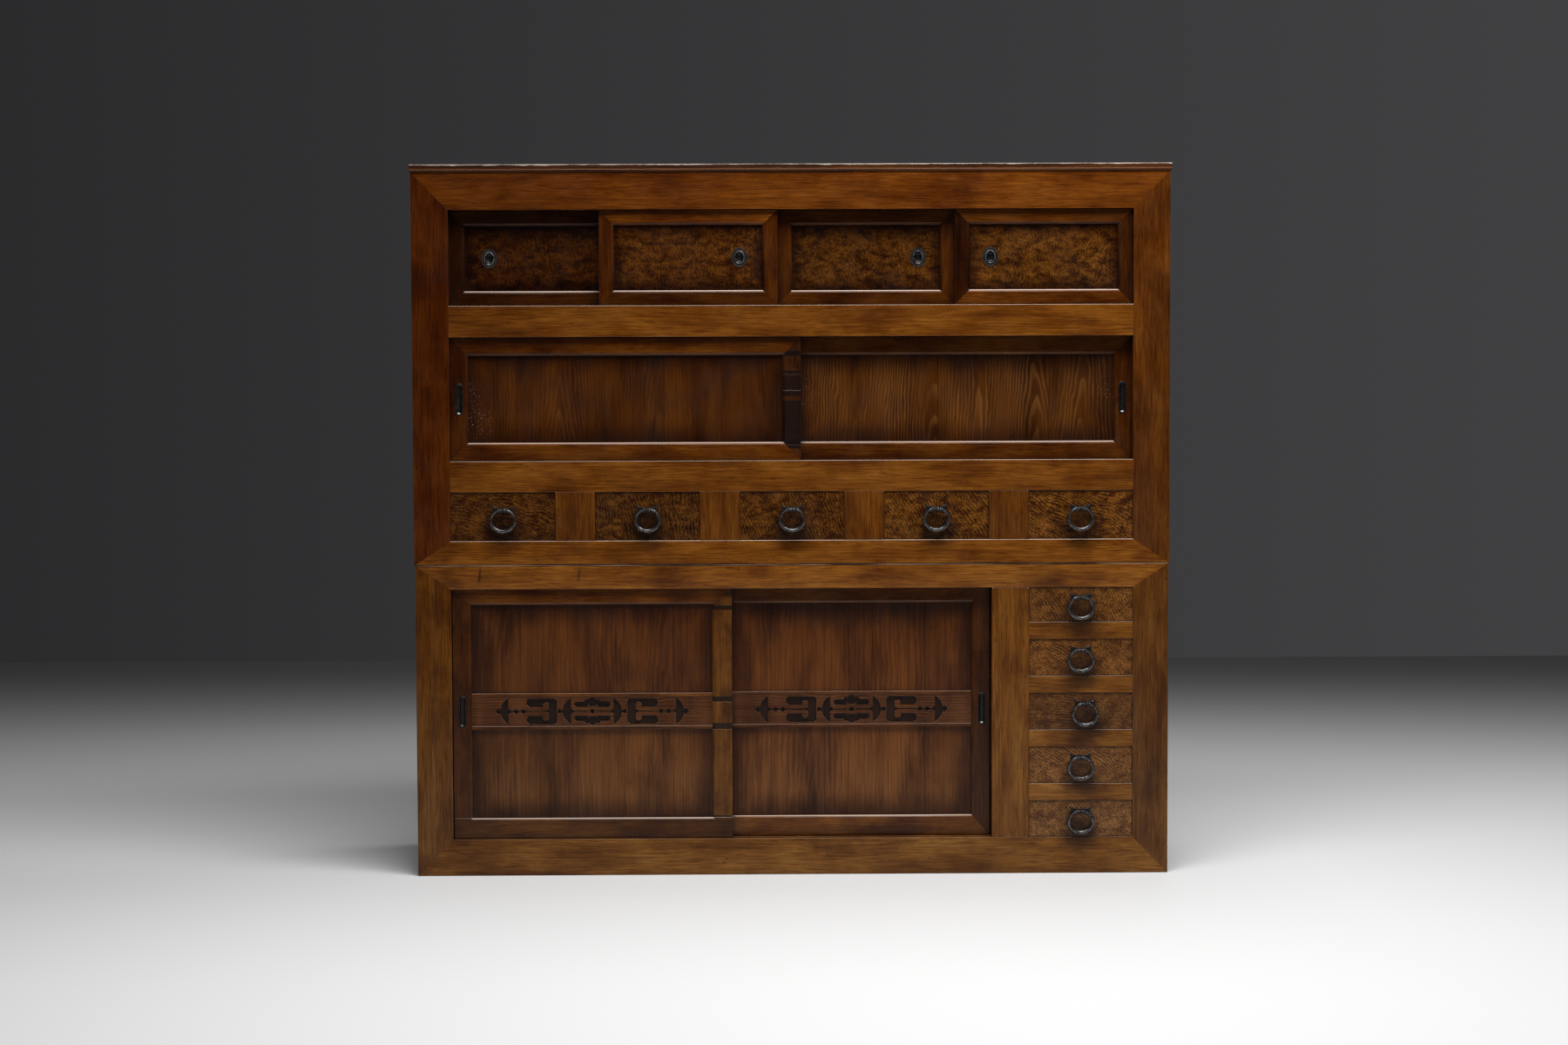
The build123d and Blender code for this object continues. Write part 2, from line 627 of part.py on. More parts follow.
def lower_drawer_case():
    """Walls, runners and stop strip of the column of side drawers."""
    low, high = LOWER_BOTTOM_RAIL, LOWER_TOP - SHELF
    pieces = [
        board(DIVIDER_RIGHT - PARTITION, DIVIDER_RIGHT, FRAME_DEPTH, BACK_RAIL_DEPTH, low, high),
        board(OPENING_HALF, OPENING_HALF + PARTITION, FRAME_DEPTH, BACK_RAIL_DEPTH, low, high),
    ]
    middle = (DIVIDER_RIGHT + OPENING_HALF) / 2
    stop_depth = BACK_RAIL_DEPTH - STOP_THICK
    stop = board(middle - GUIDE_WIDTH, middle + GUIDE_WIDTH, stop_depth, BACK_RAIL_DEPTH, low, high)
    pieces.append(stop)
    for z0, z1 in side_drawer_rails():
        for x0 in (DIVIDER_RIGHT, OPENING_HALF - GUIDE_WIDTH):
            runner = board(x0, x0 + GUIDE_WIDTH, FRAME_DEPTH, BACK_RAIL_DEPTH, z1 - GUIDE_HEIGHT, z1)
            pieces.append(runner)
    return [less(piece, lower_rear_rails()) for piece in pieces]


# -------------------------------------------------------------- sliding doors
class Door:
    """The outline of one sliding door: its body, its opening and its track."""

    def __init__(self, x0, width, z_sill, z_head, track, stiles, rails):
        self.x0, self.x1 = x0, x0 + width
        self.z0, self.z1 = z_sill + DOOR_GAP, z_head - DOOR_GAP
        self.track = track
        self.left, self.right = self.x0 + stiles[0], self.x1 - stiles[1]
        self.low, self.high = self.z0 + rails[0], self.z1 - rails[1]

    def members(self, butted_bottom=False):
        """Left stile, right stile, bottom rail and top rail, as outlines."""
        x0, x1, z0, z1 = self.x0, self.x1, self.z0, self.z1
        foot = self.low if butted_bottom else z0
        low_left, low_right = (x0, x1) if butted_bottom else (self.left, self.right)
        left = [(x0, foot), (self.left, self.low), (self.left, self.high), (x0, z1)]
        right = [(x1, foot), (self.right, self.low), (self.right, self.high), (x1, z1)]
        bottom = [(x0, z0), (x1, z0), (low_right, self.low), (low_left, self.low)]
        top = [(x0, z1), (x1, z1), (self.right, self.high), (self.left, self.high)]
        return left, right, bottom, top

    def opening_cutters(self):
        """The panel groove and the chamfer round the opening."""
        groove_depth = self.track + PANEL_INSET
        reach = PANEL_GROOVE
        groove = board(
            self.left - reach, self.right + reach, groove_depth, groove_depth + PANEL_THICK,
            self.low - reach, self.high + reach,
        )
        width, height = self.right - self.left, self.high - self.low
        centre = ((self.left + self.right) / 2, (self.low + self.high) / 2)
        growth = 2 * CHAMFER_RISE
        outer = face_plane(self.track, *centre) * Rectangle(width + growth, height + growth)
        inner = face_plane(self.track + CHAMFER_DEPTH, *centre) * Rectangle(width, height)
        return [groove, loft([outer, inner])]

    def tongue(self, z0, z1):
        """A tongue that runs in a track groove."""
        d0 = self.track + TONGUE_INSET
        return board(self.x0, self.x1, d0, d0 + TONGUE_THICK, z0, z1)

    def frame(self, butted_bottom=False):
        """The four frame members with grooves, chamfers and tongues."""
        cutters = self.opening_cutters()
        pieces = []
        for outline in self.members(butted_bottom):
            member = plate(outline, self.track, self.track + DOOR_THICK)
            pieces.append(less(member, cutters))
        pieces[2] = pieces[2] + self.tongue(self.z0 - BOTTOM_TONGUE, self.z0)
        pieces[3] = pieces[3] + self.tongue(self.z1, self.z1 + TOP_TONGUE)
        return pieces

    def panel(self, joints):
        """The panel's boards, edge to edge at the given fractions of the width."""
        reach = PANEL_GROOVE - PANEL_EDGE_GAP
        start, end = self.left - reach, self.right + reach
        marks = [0.0] + list(joints) + [1.0]
        edges = [start + mark * (end - start) for mark in marks]
        d0 = self.track + PANEL_INSET
        pieces = []
        for x0, x1 in zip(edges[:-1], edges[1:]):
            pieces.append(board(x0, x1, d0, d0 + PANEL_THICK, self.low - reach, self.high + reach))
        return pieces


def oval(half_sizes, slack=0.0):
    """An ellipse, made larger by a slack all round."""
    return Ellipse(half_sizes[0] + slack, half_sizes[1] + slack)


def upright_slot(size, slack=0.0):
    """An upright slot with round ends, made larger by a slack all round."""
    length, width = size
    return SlotOverall(length + 2 * slack, width + 2 * slack, rotation=90)


def oval_cup(x, z, depth):
    """A finger cup let into a panel whose face is at the given depth."""
    flange = sunk(oval(OVAL_FLANGE), depth - OVAL_FLANGE_THICK, OVAL_FLANGE_THICK, x, z)
    mouth_depth = depth - OVAL_FLANGE_THICK - OVAL_RIM_THICK
    rim = sunk(oval(OVAL_RIM), mouth_depth, OVAL_RIM_THICK, x, z)
    sleeve = sunk(oval(OVAL_SLEEVE), depth, OVAL_DEPTH, x, z)
    hollow_length = OVAL_FLANGE_THICK + OVAL_RIM_THICK + OVAL_DEPTH - CUP_FLOOR
    hollow = sunk(oval(OVAL_MOUTH), mouth_depth, hollow_length, x, z)
    return [flange + rim + sleeve - hollow]


def slot_cup(x, z, depth):
    """A long finger cup let into a stile whose face is at the given depth."""
    flange = sunk(upright_slot(SLOT_FLANGE), depth - SLOT_FLANGE_THICK, SLOT_FLANGE_THICK, x, z)
    sleeve = sunk(upright_slot(SLOT_SLEEVE), depth, SLOT_DEPTH, x, z)
    hollow_length = SLOT_FLANGE_THICK + SLOT_DEPTH - CUP_FLOOR
    hollow = sunk(upright_slot(SLOT_MOUTH), depth - SLOT_FLANGE_THICK, hollow_length, x, z)
    return [flange + sleeve - hollow]


def small_doors():
    """Four doors in two tracks, each with one figured board and an oval cup."""
    tracks = (REAR_TRACK, FRONT_TRACK, REAR_TRACK, FRONT_TRACK)
    member = (SMALL_DOOR_MEMBER, SMALL_DOOR_MEMBER)
    middle_z = (SMALL_SILL_Z + SMALL_HEAD_Z) / 2
    for index, x0 in enumerate(SMALL_DOOR_LEFT_EDGES):
        door = Door(x0, SMALL_DOOR_WIDTH, SMALL_SILL_Z, SMALL_HEAD_Z, tracks[index], member, member)
        cup_x = door.x0 + OVAL_PLACES[index]
        face = door.track + PANEL_INSET
        hole = sunk(oval(OVAL_SLEEVE, CUP_SLACK), face, PANEL_THICK, cup_x, middle_z)
        panel = [board_piece - hole for board_piece in door.panel(())]
        name = f"small_door_{index + 1}"
        write_node(name, door.frame() + panel)
        write_node(name + "_pull", oval_cup(cup_x, middle_z, face))


def slot_door(name, door, cup_x, cup_z, joints, extras=(), butted_bottom=False):
    """Writes a door with a long cup in one stile, and its cup."""
    pocket = sunk(upright_slot(SLOT_SLEEVE, CUP_SLACK), door.track, SLOT_DEPTH + CUP_SLACK, cup_x, cup_z)
    frame = [member - pocket for member in door.frame(butted_bottom)]
    write_node(name, frame + door.panel(joints) + list(extras))
    write_node(name + "_pull", slot_cup(cup_x, cup_z, door.track))


def wide_doors():
    """Two doors of five cedar boards each."""
    member = (WIDE_DOOR_MEMBER, WIDE_DOOR_MEMBER)
    middle_z = (WIDE_SILL_Z + WIDE_HEAD_Z) / 2
    left_x0 = -OPENING_HALF + WIDE_DOOR_END_GAP
    right_x0 = OPENING_HALF - WIDE_DOOR_END_GAP - WIDE_DOOR_WIDTH
    left = Door(left_x0, WIDE_DOOR_WIDTH, WIDE_SILL_Z, WIDE_HEAD_Z, FRONT_TRACK, member, member)
    right = Door(right_x0, WIDE_DOOR_WIDTH, WIDE_SILL_Z, WIDE_HEAD_Z, REAR_TRACK, member, member)
    half_stile = WIDE_DOOR_MEMBER / 2
    left_marks, right_marks = WIDE_PANEL_JOINTS
    slot_door("wide_door_left", left, left.x0 + half_stile, middle_z, left_marks)
    slot_door("wide_door_right", right, right.x1 - half_stile, middle_z, right_marks)


# ---------------------------------------------------------------- pierced band
def moon(flat_x, half_chord, bulge):
    """A half-moon with its flat side upright at flat_x and its bulge to the left."""
    radius = (half_chord**2 + bulge**2) / (2 * bulge)
    disc = Pos(flat_x - bulge + radius, 0) * Circle(radius)
    cutter = Pos(flat_x - bulge, 0) * Rectangle(2 * bulge, 2 * half_chord)
    return disc & cutter


def bar_between(x0, x1, y0, y1, corner=0.0):
    """An upright rectangle with rounded corners."""
    place = Pos((x0 + x1) / 2, (y0 + y1) / 2)
    if corner > 0:
        return place * RectangleRounded(x1 - x0, y1 - y0, corner)
    return place * Rectangle(x1 - x0, y1 - y0)


def both_ways(shape):
    """A shape and its mirror image below the middle line."""
    return shape + mirror(shape, about=Plane.XZ)


def round_at(x, y, radius):
    """A disc about a point."""
    return Pos(x, y) * Circle(radius)


def slit_between(x0, x1):
    """A thin slit along the middle line."""
    return bar_between(x0, x1, -SLIT_HALF, SLIT_HALF)


def lozenge(x):
    """A diamond on the middle line."""
    half_x, half_y = LOZENGE_HALF
    return Polygon((x - half_x, 0), (x, -half_y), (x + half_x, 0), (x, half_y), align=None)


def flared_mouth(x_wide, x_narrow, half_wide):
    """The widening end of a slit."""
    upper = [(x_wide, half_wide), (x_narrow, SLIT_HALF)]
    lower = [(x_narrow, -SLIT_HALF), (x_wide, -half_wide)]
    return Polygon(*(upper + lower), align=None)


def pierced_half():
    """The left half of the pierced pattern, about the middle of the band."""
    shape = Pos(TIP_HOLE[0], 0) * Circle(TIP_HOLE[1])
    shape = shape + moon(*OUTER_MOON) + flared_mouth(*OUTER_MOUTH) + slit_between(*LONG_SLIT)
    for x in LOZENGES:
        shape = shape + lozenge(x)

    block = both_ways(bar_between(*ARM)) + bar_between(*SPINE)
    curls = round_at(*BIG_CURL) + round_at(*SMALL_CURL)
    block = block - both_ways(curls) + flared_mouth(*CURL_MOUTH)

    inner_moon = moon(*INNER_MOON) + flared_mouth(*INNER_MOUTH)
    return shape + block + Polygon(*KITE, align=None) + inner_moon + slit_between(*SHORT_SLIT)


def pierced_centre():
    """The middle motif: a round hole between two lobed wings."""
    hole_radius, wood_radius = CENTRE_RING
    wing = bar_between(*WING) + round_at(*MIDDLE_LOBE)
    lobe_x, lobe_y, lobe_radius = SIDE_LOBE
    for side in (-1, 1):
        wing = wing + round_at(side * lobe_x, lobe_y, lobe_radius)
        notch = [(side * x, y) for x, y in WING_NOTCH]
        wing = wing - Polygon(*notch, align=None)
    wing = wing - Circle(wood_radius)
    return both_ways(wing) + Circle(hole_radius)


def pierced_pattern():
    """The whole pattern: two mirrored halves and the middle motif."""
    half = pierced_half()
    return half + mirror(half, about=Plane.YZ) + pierced_centre()


def fret_band(door):
    """The pierced board with a bead along each edge, laid on the panel."""
    depth = door.track + PANEL_INSET - FRET_THICK
    z0 = FRET_CENTRE_Z - FRET_HEIGHT / 2
    z1 = FRET_CENTRE_Z + FRET_HEIGHT / 2
    back = door.track + PANEL_INSET
    band = board(door.left, door.right, depth, back, z0 + FRET_BEAD, z1 - FRET_BEAD)
    centre_x = (door.left + door.right) / 2
    holes = sunk(pierced_pattern(), depth, FRET_THICK, centre_x, FRET_CENTRE_Z)
    proud = depth - FRET_BEAD_PROUD
    low_bead = board(door.left, door.right, proud, back, z0, z0 + FRET_BEAD)
    high_bead = board(door.left, door.right, proud, back, z1 - FRET_BEAD, z1)
    return [band - holes, low_bead, high_bead]


def lower_doors():
    """Two doors of cedar boards with a pierced band across the panel."""
    rails = (LOWER_DOOR_BOTTOM, LOWER_DOOR_TOP)
    left_stiles = (LOWER_DOOR_STILE, LOWER_DOOR_MEETING)
    right_stiles = (LOWER_DOOR_MEETING, LOWER_DOOR_STILE)
    x_left, x_right = LOWER_DOOR_LEFT_EDGES
    sill, head = LOWER_BOTTOM_RAIL, LOWER_HEAD_Z
    left = Door(x_left, LOWER_DOOR_WIDTH, sill, head, FRONT_TRACK, left_stiles, rails)
    right = Door(x_right, LOWER_DOOR_WIDTH, sill, head, REAR_TRACK, right_stiles, rails)
    cup_z = FRET_CENTRE_Z
    half_stile = LOWER_DOOR_STILE / 2
    cup_left = left.x0 + half_stile
    cup_right = right.x1 - half_stile + LOWER_RIGHT_SLOT_SHIFT
    left_marks, right_marks = LOWER_PANEL_JOINTS
    slot_door("lower_door_left", left, cup_left, cup_z, left_marks, fret_band(left), True)
    slot_door("lower_door_right", right, cup_right, cup_z, right_marks, fret_band(right))


# -------------------------------------------------------------------- drawers
def drawer_box(x0, x1, z0, z1, pin_x, pin_z):
    """Front, sides, back and bottom of a drawer in the given opening."""
    x0, x1 = x0 + DRAWER_SLACK, x1 - DRAWER_SLACK
    z0, z1 = z0 + DRAWER_SLACK, z1 - DRAWER_SLACK
    face = DRAWER_INSET
    inner_face = face + DRAWER_FRONT
    end = face + DRAWER_LENGTH
    lap = face + DRAWER_FRONT / 2
    floor = z0 + DRAWER_BOTTOM
    sides = [
        board(x0, x0 + DRAWER_SIDE, lap, end, floor, z1 - SIDE_DROP),
        board(x1 - DRAWER_SIDE, x1, lap, end, floor, z1 - SIDE_DROP),
    ]
    front = board(x0, x1, face, inner_face, z0, z1)
    front = less(front, sides + [pin_shank(pin_x, pin_z, face, inner_face)] + nail_shanks(pin_x, pin_z))
    back = board(x0 + DRAWER_SIDE, x1 - DRAWER_SIDE, end - DRAWER_SIDE, end, floor, z1 - BACK_DROP)
    bottom = board(x0, x1, inner_face, end, z0, floor)
    return [front, back, bottom] + sides


def pin_shank(x, z, d0, d1):
    """The part of a split pin, or its hole, between two depths."""
    return board(x - EYE_WIRE, x + EYE_WIRE, d0, d1, z - PIN_HALF_HEIGHT, z + PIN_HALF_HEIGHT)


def nail_shanks(x, z):
    """Square shanks of the two nails of a back plate."""
    shanks = []
    for side in (-1, 1):
        nx, nz = x + side * NAIL_PLACE[0], z + NAIL_PLACE[1]
        half = NAIL_SHANK / 2
        d0 = DRAWER_INSET - PLATE_THICK
        shanks.append(board(nx - half, nx + half, d0, d0 + NAIL_LENGTH, nz - half, nz + half))
    return shanks


def plate_outline():
    """A bat-shaped back plate: two pointed ears and hollow upper and lower edges."""
    high, high_middle = PLATE_HIGH
    low, low_middle = PLATE_LOW
    upper = ThreePointArc((-EAR_START, high), (0, high_middle), (EAR_START, high))
    lower = ThreePointArc((-EAR_START, low), (0, low_middle), (EAR_START, low))
    edges = [upper, lower]
    for side in (-1, 1):
        ear = [(side * x, z) for x, z in EAR]
        edges.append(Polyline((side * EAR_START, high), *ear, (side * EAR_START, low)))
    return make_face(edges)


def split_pin(x, z):
    """A split pin whose eye holds the ring; its legs are bent over inside."""
    pivot_depth = DRAWER_INSET - PIVOT_OUT
    inner_face = DRAWER_INSET + DRAWER_FRONT
    eye = Pos(x, FRONT_Y + pivot_depth, z) * Rot(0, 90, 0) * Torus(EYE_MAJOR, EYE_WIRE)
    shank = pin_shank(x, z, pivot_depth + EYE_MAJOR, inner_face)
    leg_face = inner_face + PIN_LEG_THICK
    legs = board(x - EYE_WIRE, x + EYE_WIRE, inner_face, leg_face, z - PIN_LEG, z + PIN_LEG)
    return eye + shank + legs


def pull_plate(x, z):
    """Back plate, split pin and two nails."""
    plate_face = DRAWER_INSET - PLATE_THICK
    back_plate = sunk(plate_outline(), plate_face, PLATE_THICK, x, z)
    back_plate = less(back_plate, nail_shanks(x, z) + [pin_shank(x, z, plate_face, DRAWER_INSET)])
    pieces = [back_plate, split_pin(x, z)]
    for side, shank in zip((-1, 1), nail_shanks(x, z)):
        nail_x, nail_z = x + side * NAIL_PLACE[0], z + NAIL_PLACE[1]
        radius = NAIL_HEAD_RADIUS
        left, right = nail_x - radius, nail_x + radius
        ball = Pos(nail_x, FRONT_Y + plate_face, nail_z) * Sphere(radius)
        front_half = board(left, right, plate_face - radius, plate_face, nail_z - radius, nail_z + radius)
        pieces.append((ball & front_half) + shank)
    return pieces


def ring_start():
    """The angle from the top at which the ring leaves its bar."""
    return math.asin(BAR_HALF / RING_HALF_WIDTH)


def ring_point(angle):
    """The middle of the iron at an angle from the top, seen from the front."""
    centre_z = -RING_HALF_HEIGHT * math.cos(ring_start())
    return RING_HALF_WIDTH * math.sin(angle), centre_z + RING_HALF_HEIGHT * math.cos(angle)


def ring_section(angle):
    """A round section across the ring, thicker towards the bottom."""
    x, z = ring_point(angle)
    tangent = (RING_HALF_WIDTH * math.cos(angle), 0, -RING_HALF_HEIGHT * math.sin(angle))
    growth = (1 - math.cos(angle)) / 2
    radius = BAR_RADIUS + (RING_BOTTOM_RADIUS - BAR_RADIUS) * growth
    return Plane(origin=(x, 0, z), x_dir=(0, 1, 0), z_dir=tangent) * Circle(radius)


def pull_ring():
    """A ring about its own pivot: a straight beaded bar and a tapering loop."""
    start = ring_start()
    step = (math.pi - start) / (RING_SECTIONS - 1)
    right = loft([ring_section(start + index * step) for index in range(RING_SECTIONS)])
    bar = Rot(0, 90, 0) * Cylinder(BAR_RADIUS, 2 * (BAR_HALF + BAR_OVERLAP))
    ring = right + mirror(right, about=Plane.YZ) + bar
    for place in BEAD_PLACES:
        for side in (-1, 1):
            ring = ring + Pos(side * place, 0, 0) * Rot(0, 90, 0) * Torus(BEAD_MAJOR, BEAD_MINOR)
    return ring


def write_drawer(name, bay, z0, z1, pivot_rise, ring, pull_shift=0.0):
    """One drawer with its back plate and ring."""
    pin_x = (bay[0] + bay[1]) / 2 + pull_shift
    pin_z = (z0 + z1) / 2 + pivot_rise
    write_node(name, drawer_box(bay[0], bay[1], z0, z1, pin_x, pin_z))
    write_node(name + "_plate", pull_plate(pin_x, pin_z))
    pivot = Pos(pin_x, FRONT_Y + DRAWER_INSET - PIVOT_OUT, pin_z)
    write_node(name + "_ring", [pivot * ring])


def drawers():
    """The row of five above the wide doors and the column of five beside the lower doors."""
    ring = pull_ring()
    for index, bay in enumerate(top_drawer_bays()):
        write_drawer(f"top_drawer_{index + 1}", bay, DECK_Z, DRAWER_HEAD_Z, TOP_PIVOT_RISE, ring)
    bay = (DIVIDER_RIGHT, OPENING_HALF)
    for index in range(SIDE_DRAWER_COUNT):
        z0 = side_drawer_floor(SIDE_DRAWER_COUNT - 1 - index)
        z1 = min(z0 + SIDE_DRAWER_HEIGHT, LOWER_HEAD_Z)
        shift = SIDE_PULL_SHIFTS[index]
        write_drawer(f"side_drawer_{index + 1}", bay, z0, z1, SIDE_PIVOT_RISE, ring, shift)


def main():
    """Writes every node."""
    os.makedirs("parts", exist_ok=True)
    write_node("cornice_board", cornice_board())
    write_node("upper_front_stiles", upper_front_stiles())
    write_node("upper_front_rails", upper_front_rails())
    write_node("upper_drawer_spacers", upper_drawer_spacers())
    write_node("upper_side_frames", upper_side_frames())
    write_node("upper_side_panels", upper_side_panels())
    write_node("upper_back_boards", upper_back_boards())
    write_node("upper_shelves", upper_shelves())
    write_node("lower_front_stiles", lower_front_stiles())
    write_node("lower_front_rails", lower_front_rails())
    write_node("lower_side_walls", lower_side_walls())
    write_node("lower_back_boards", lower_back_boards())
    write_node("lower_shelves", lower_shelves())
    write_node("lower_drawer_case", lower_drawer_case())
    small_doors()
    wide_doors()
    lower_doors()
    drawers()


main()
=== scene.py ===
# %% [markdown]
# # A two-part kitchen cabinet
# The cabinet is made of boards, so nearly everything here is about boards: their
# edges, the way their grain runs, and what a century of kitchen smoke and hands has
# done to them. The solid parts are loaded first as a fixed frame. Each shown piece
# below is either a dressed copy of one of those parts or a piece of ironwork that is
# modelled here, and each rides on the part that carries it.

# %% Load the frame
import math
import random
from collections import namedtuple

import bmesh
import bpy
from mathutils import Matrix, Vector


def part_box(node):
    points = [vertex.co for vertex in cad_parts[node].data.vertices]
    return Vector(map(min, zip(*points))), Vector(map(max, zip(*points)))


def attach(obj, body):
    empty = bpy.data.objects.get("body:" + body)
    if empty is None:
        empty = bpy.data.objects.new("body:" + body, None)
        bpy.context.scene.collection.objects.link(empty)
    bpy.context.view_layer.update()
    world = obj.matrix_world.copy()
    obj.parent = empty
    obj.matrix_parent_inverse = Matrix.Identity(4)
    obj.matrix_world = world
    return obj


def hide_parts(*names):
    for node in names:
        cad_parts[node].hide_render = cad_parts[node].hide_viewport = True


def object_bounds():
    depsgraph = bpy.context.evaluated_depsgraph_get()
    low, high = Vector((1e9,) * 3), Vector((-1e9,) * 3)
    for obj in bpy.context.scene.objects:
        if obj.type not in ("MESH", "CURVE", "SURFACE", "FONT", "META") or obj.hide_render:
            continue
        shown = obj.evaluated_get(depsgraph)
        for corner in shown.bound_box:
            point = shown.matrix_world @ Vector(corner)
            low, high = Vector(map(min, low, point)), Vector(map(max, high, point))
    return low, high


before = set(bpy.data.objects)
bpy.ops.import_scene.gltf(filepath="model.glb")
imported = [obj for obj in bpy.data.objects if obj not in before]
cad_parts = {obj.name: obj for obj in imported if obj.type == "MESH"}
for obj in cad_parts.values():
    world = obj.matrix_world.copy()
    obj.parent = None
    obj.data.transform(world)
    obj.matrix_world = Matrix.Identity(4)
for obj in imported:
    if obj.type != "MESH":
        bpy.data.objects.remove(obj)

frame_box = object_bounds()
print("frame", [round(x, 4) for x in frame_box[0]], [round(x, 4) for x in frame_box[1]])

# %% [markdown]
# ## Camera
# The cabinet is seen nearly straight on, from a little above its middle, through a
# long lens that keeps its uprights parallel. A camera could be aimed by a constraint,
# but its three directions are worked out here from its pitch, yaw and roll, so that
# each of them can be changed by itself.

# %% Camera
CAMERA_PLACE = (-0.0706, -6.297, 1.126)
LOOK_DOWN = math.radians(2.827)
LOOK_RIGHT = math.radians(0.489)
TILT = math.radians(-0.206)
LENS_MM = 60
FILM_WIDTH_MM = 36


def make_camera():
    look = Vector((
        math.sin(LOOK_RIGHT) * math.cos(LOOK_DOWN),
        math.cos(LOOK_RIGHT) * math.cos(LOOK_DOWN),
        -math.sin(LOOK_DOWN),
    ))
    level_right = look.cross(Vector((0, 0, 1))).normalized()
    level_up = level_right.cross(look)
    right = level_right * math.cos(TILT) + level_up * math.sin(TILT)
    up = level_up * math.cos(TILT) - level_right * math.sin(TILT)
    data = bpy.data.cameras.new("camera")
    data.lens = LENS_MM
    data.sensor_width = FILM_WIDTH_MM
    camera = bpy.data.objects.new("camera", data)
    turn = Matrix((right, up, -look)).transposed().to_4x4()
    camera.matrix_world = Matrix.Translation(CAMERA_PLACE) @ turn
    bpy.context.scene.collection.objects.link(camera)
    bpy.context.scene.camera = camera
    return camera


camera = make_camera()
print("camera", camera.matrix_world.translation[:], "lens", camera.data.lens)

# %% [markdown]
# ## Arithmetic on shader nodes
# A finish is a tree of shader nodes, and most of them only add, multiply or compare.
# Wired one by one, the nodes hide the idea. So what a node gives is wrapped as a Number
# here, and each +, -, * or / on it adds the right node.

# %% Numbers
class Output:
    """What a node gives, with the finish that the node belongs to."""

    def __init__(self, finish, socket):
        self.finish = finish
        self.socket = socket


class Number(Output):
    """One number. Arithmetic on it adds a node."""

    kind = "ShaderNodeMath"

    def step(self, operation, *values):
        return type(self)(self.finish, self.finish.add(self.kind, values, operation=operation).outputs[0])

    def apply(self, operation):
        """Sine, cosine, root or fraction of the number."""
        return self.step(operation, self)

    def at_least(self, other):
        return self.step("MAXIMUM", self, other)

    def at_most(self, other):
        return self.step("MINIMUM", self, other)

    def between(self, low, high, at_low=0.0, at_high=1.0):
        """Maps low..high smoothly on at_low..at_high, and holds the ends."""
        node = self.finish.add("ShaderNodeMapRange", [self, low, high, at_low, at_high],
                               interpolation_type="SMOOTHSTEP")
        return Number(self.finish, node.outputs[0])

    def __add__(self, other):
        return self.step("ADD", self, other)

    def __sub__(self, other):
        return self.step("SUBTRACT", self, other)

    def __rsub__(self, other):
        return self.step("SUBTRACT", other, self)

    def __mul__(self, other):
        return self.step("MULTIPLY", self, other)

    def __truediv__(self, other):
        return self.step("DIVIDE", self, other)

    def __pow__(self, power):
        return self.step("POWER", self, power)

    def __abs__(self):
        return self.step("ABSOLUTE", self)


print("a Number adds a", Number.kind)

# %% [markdown]
# ## Places and colours
# A Triple is three numbers at once, such as a place. A Paint is a colour, with the two
# things that a finisher does to one: paint over it, or glaze it, which multiplies it by
# a tint and lets it show. One kind for all three would do, but then a line of a finish
# wouldn't say what it works on.

# %% Triples and paints
class Triple(Number):
    """Three numbers, such as a place. What it is combined with is three numbers too."""

    kind = "ShaderNodeVectorMath"

    def parts(self):
        outputs = self.finish.add("ShaderNodeSeparateXYZ", [self]).outputs
        return [Number(self.finish, socket) for socket in outputs]

    def length(self):
        node = self.finish.add(self.kind, [self], operation="LENGTH")
        return Number(self.finish, node.outputs["Value"])


class Paint(Output):
    """A colour. The share of what goes over it is a number or 0..1."""

    def painted(self, colour, share):
        return self.finish.blend(self, colour, share)

    def glazed(self, tint, share=1.0):
        return self.finish.blend(self, tint, share, "MULTIPLY")


print("a Triple adds a", Triple.kind)

# %% [markdown]
# ## A short way to write a finish
# A finish holds one node tree, of a material or of the world. It adds a node, fills the
# node's sockets with other nodes' outputs or plain values, and hands back what the node
# gives. A line of a finish then reads like the recipe that it is.

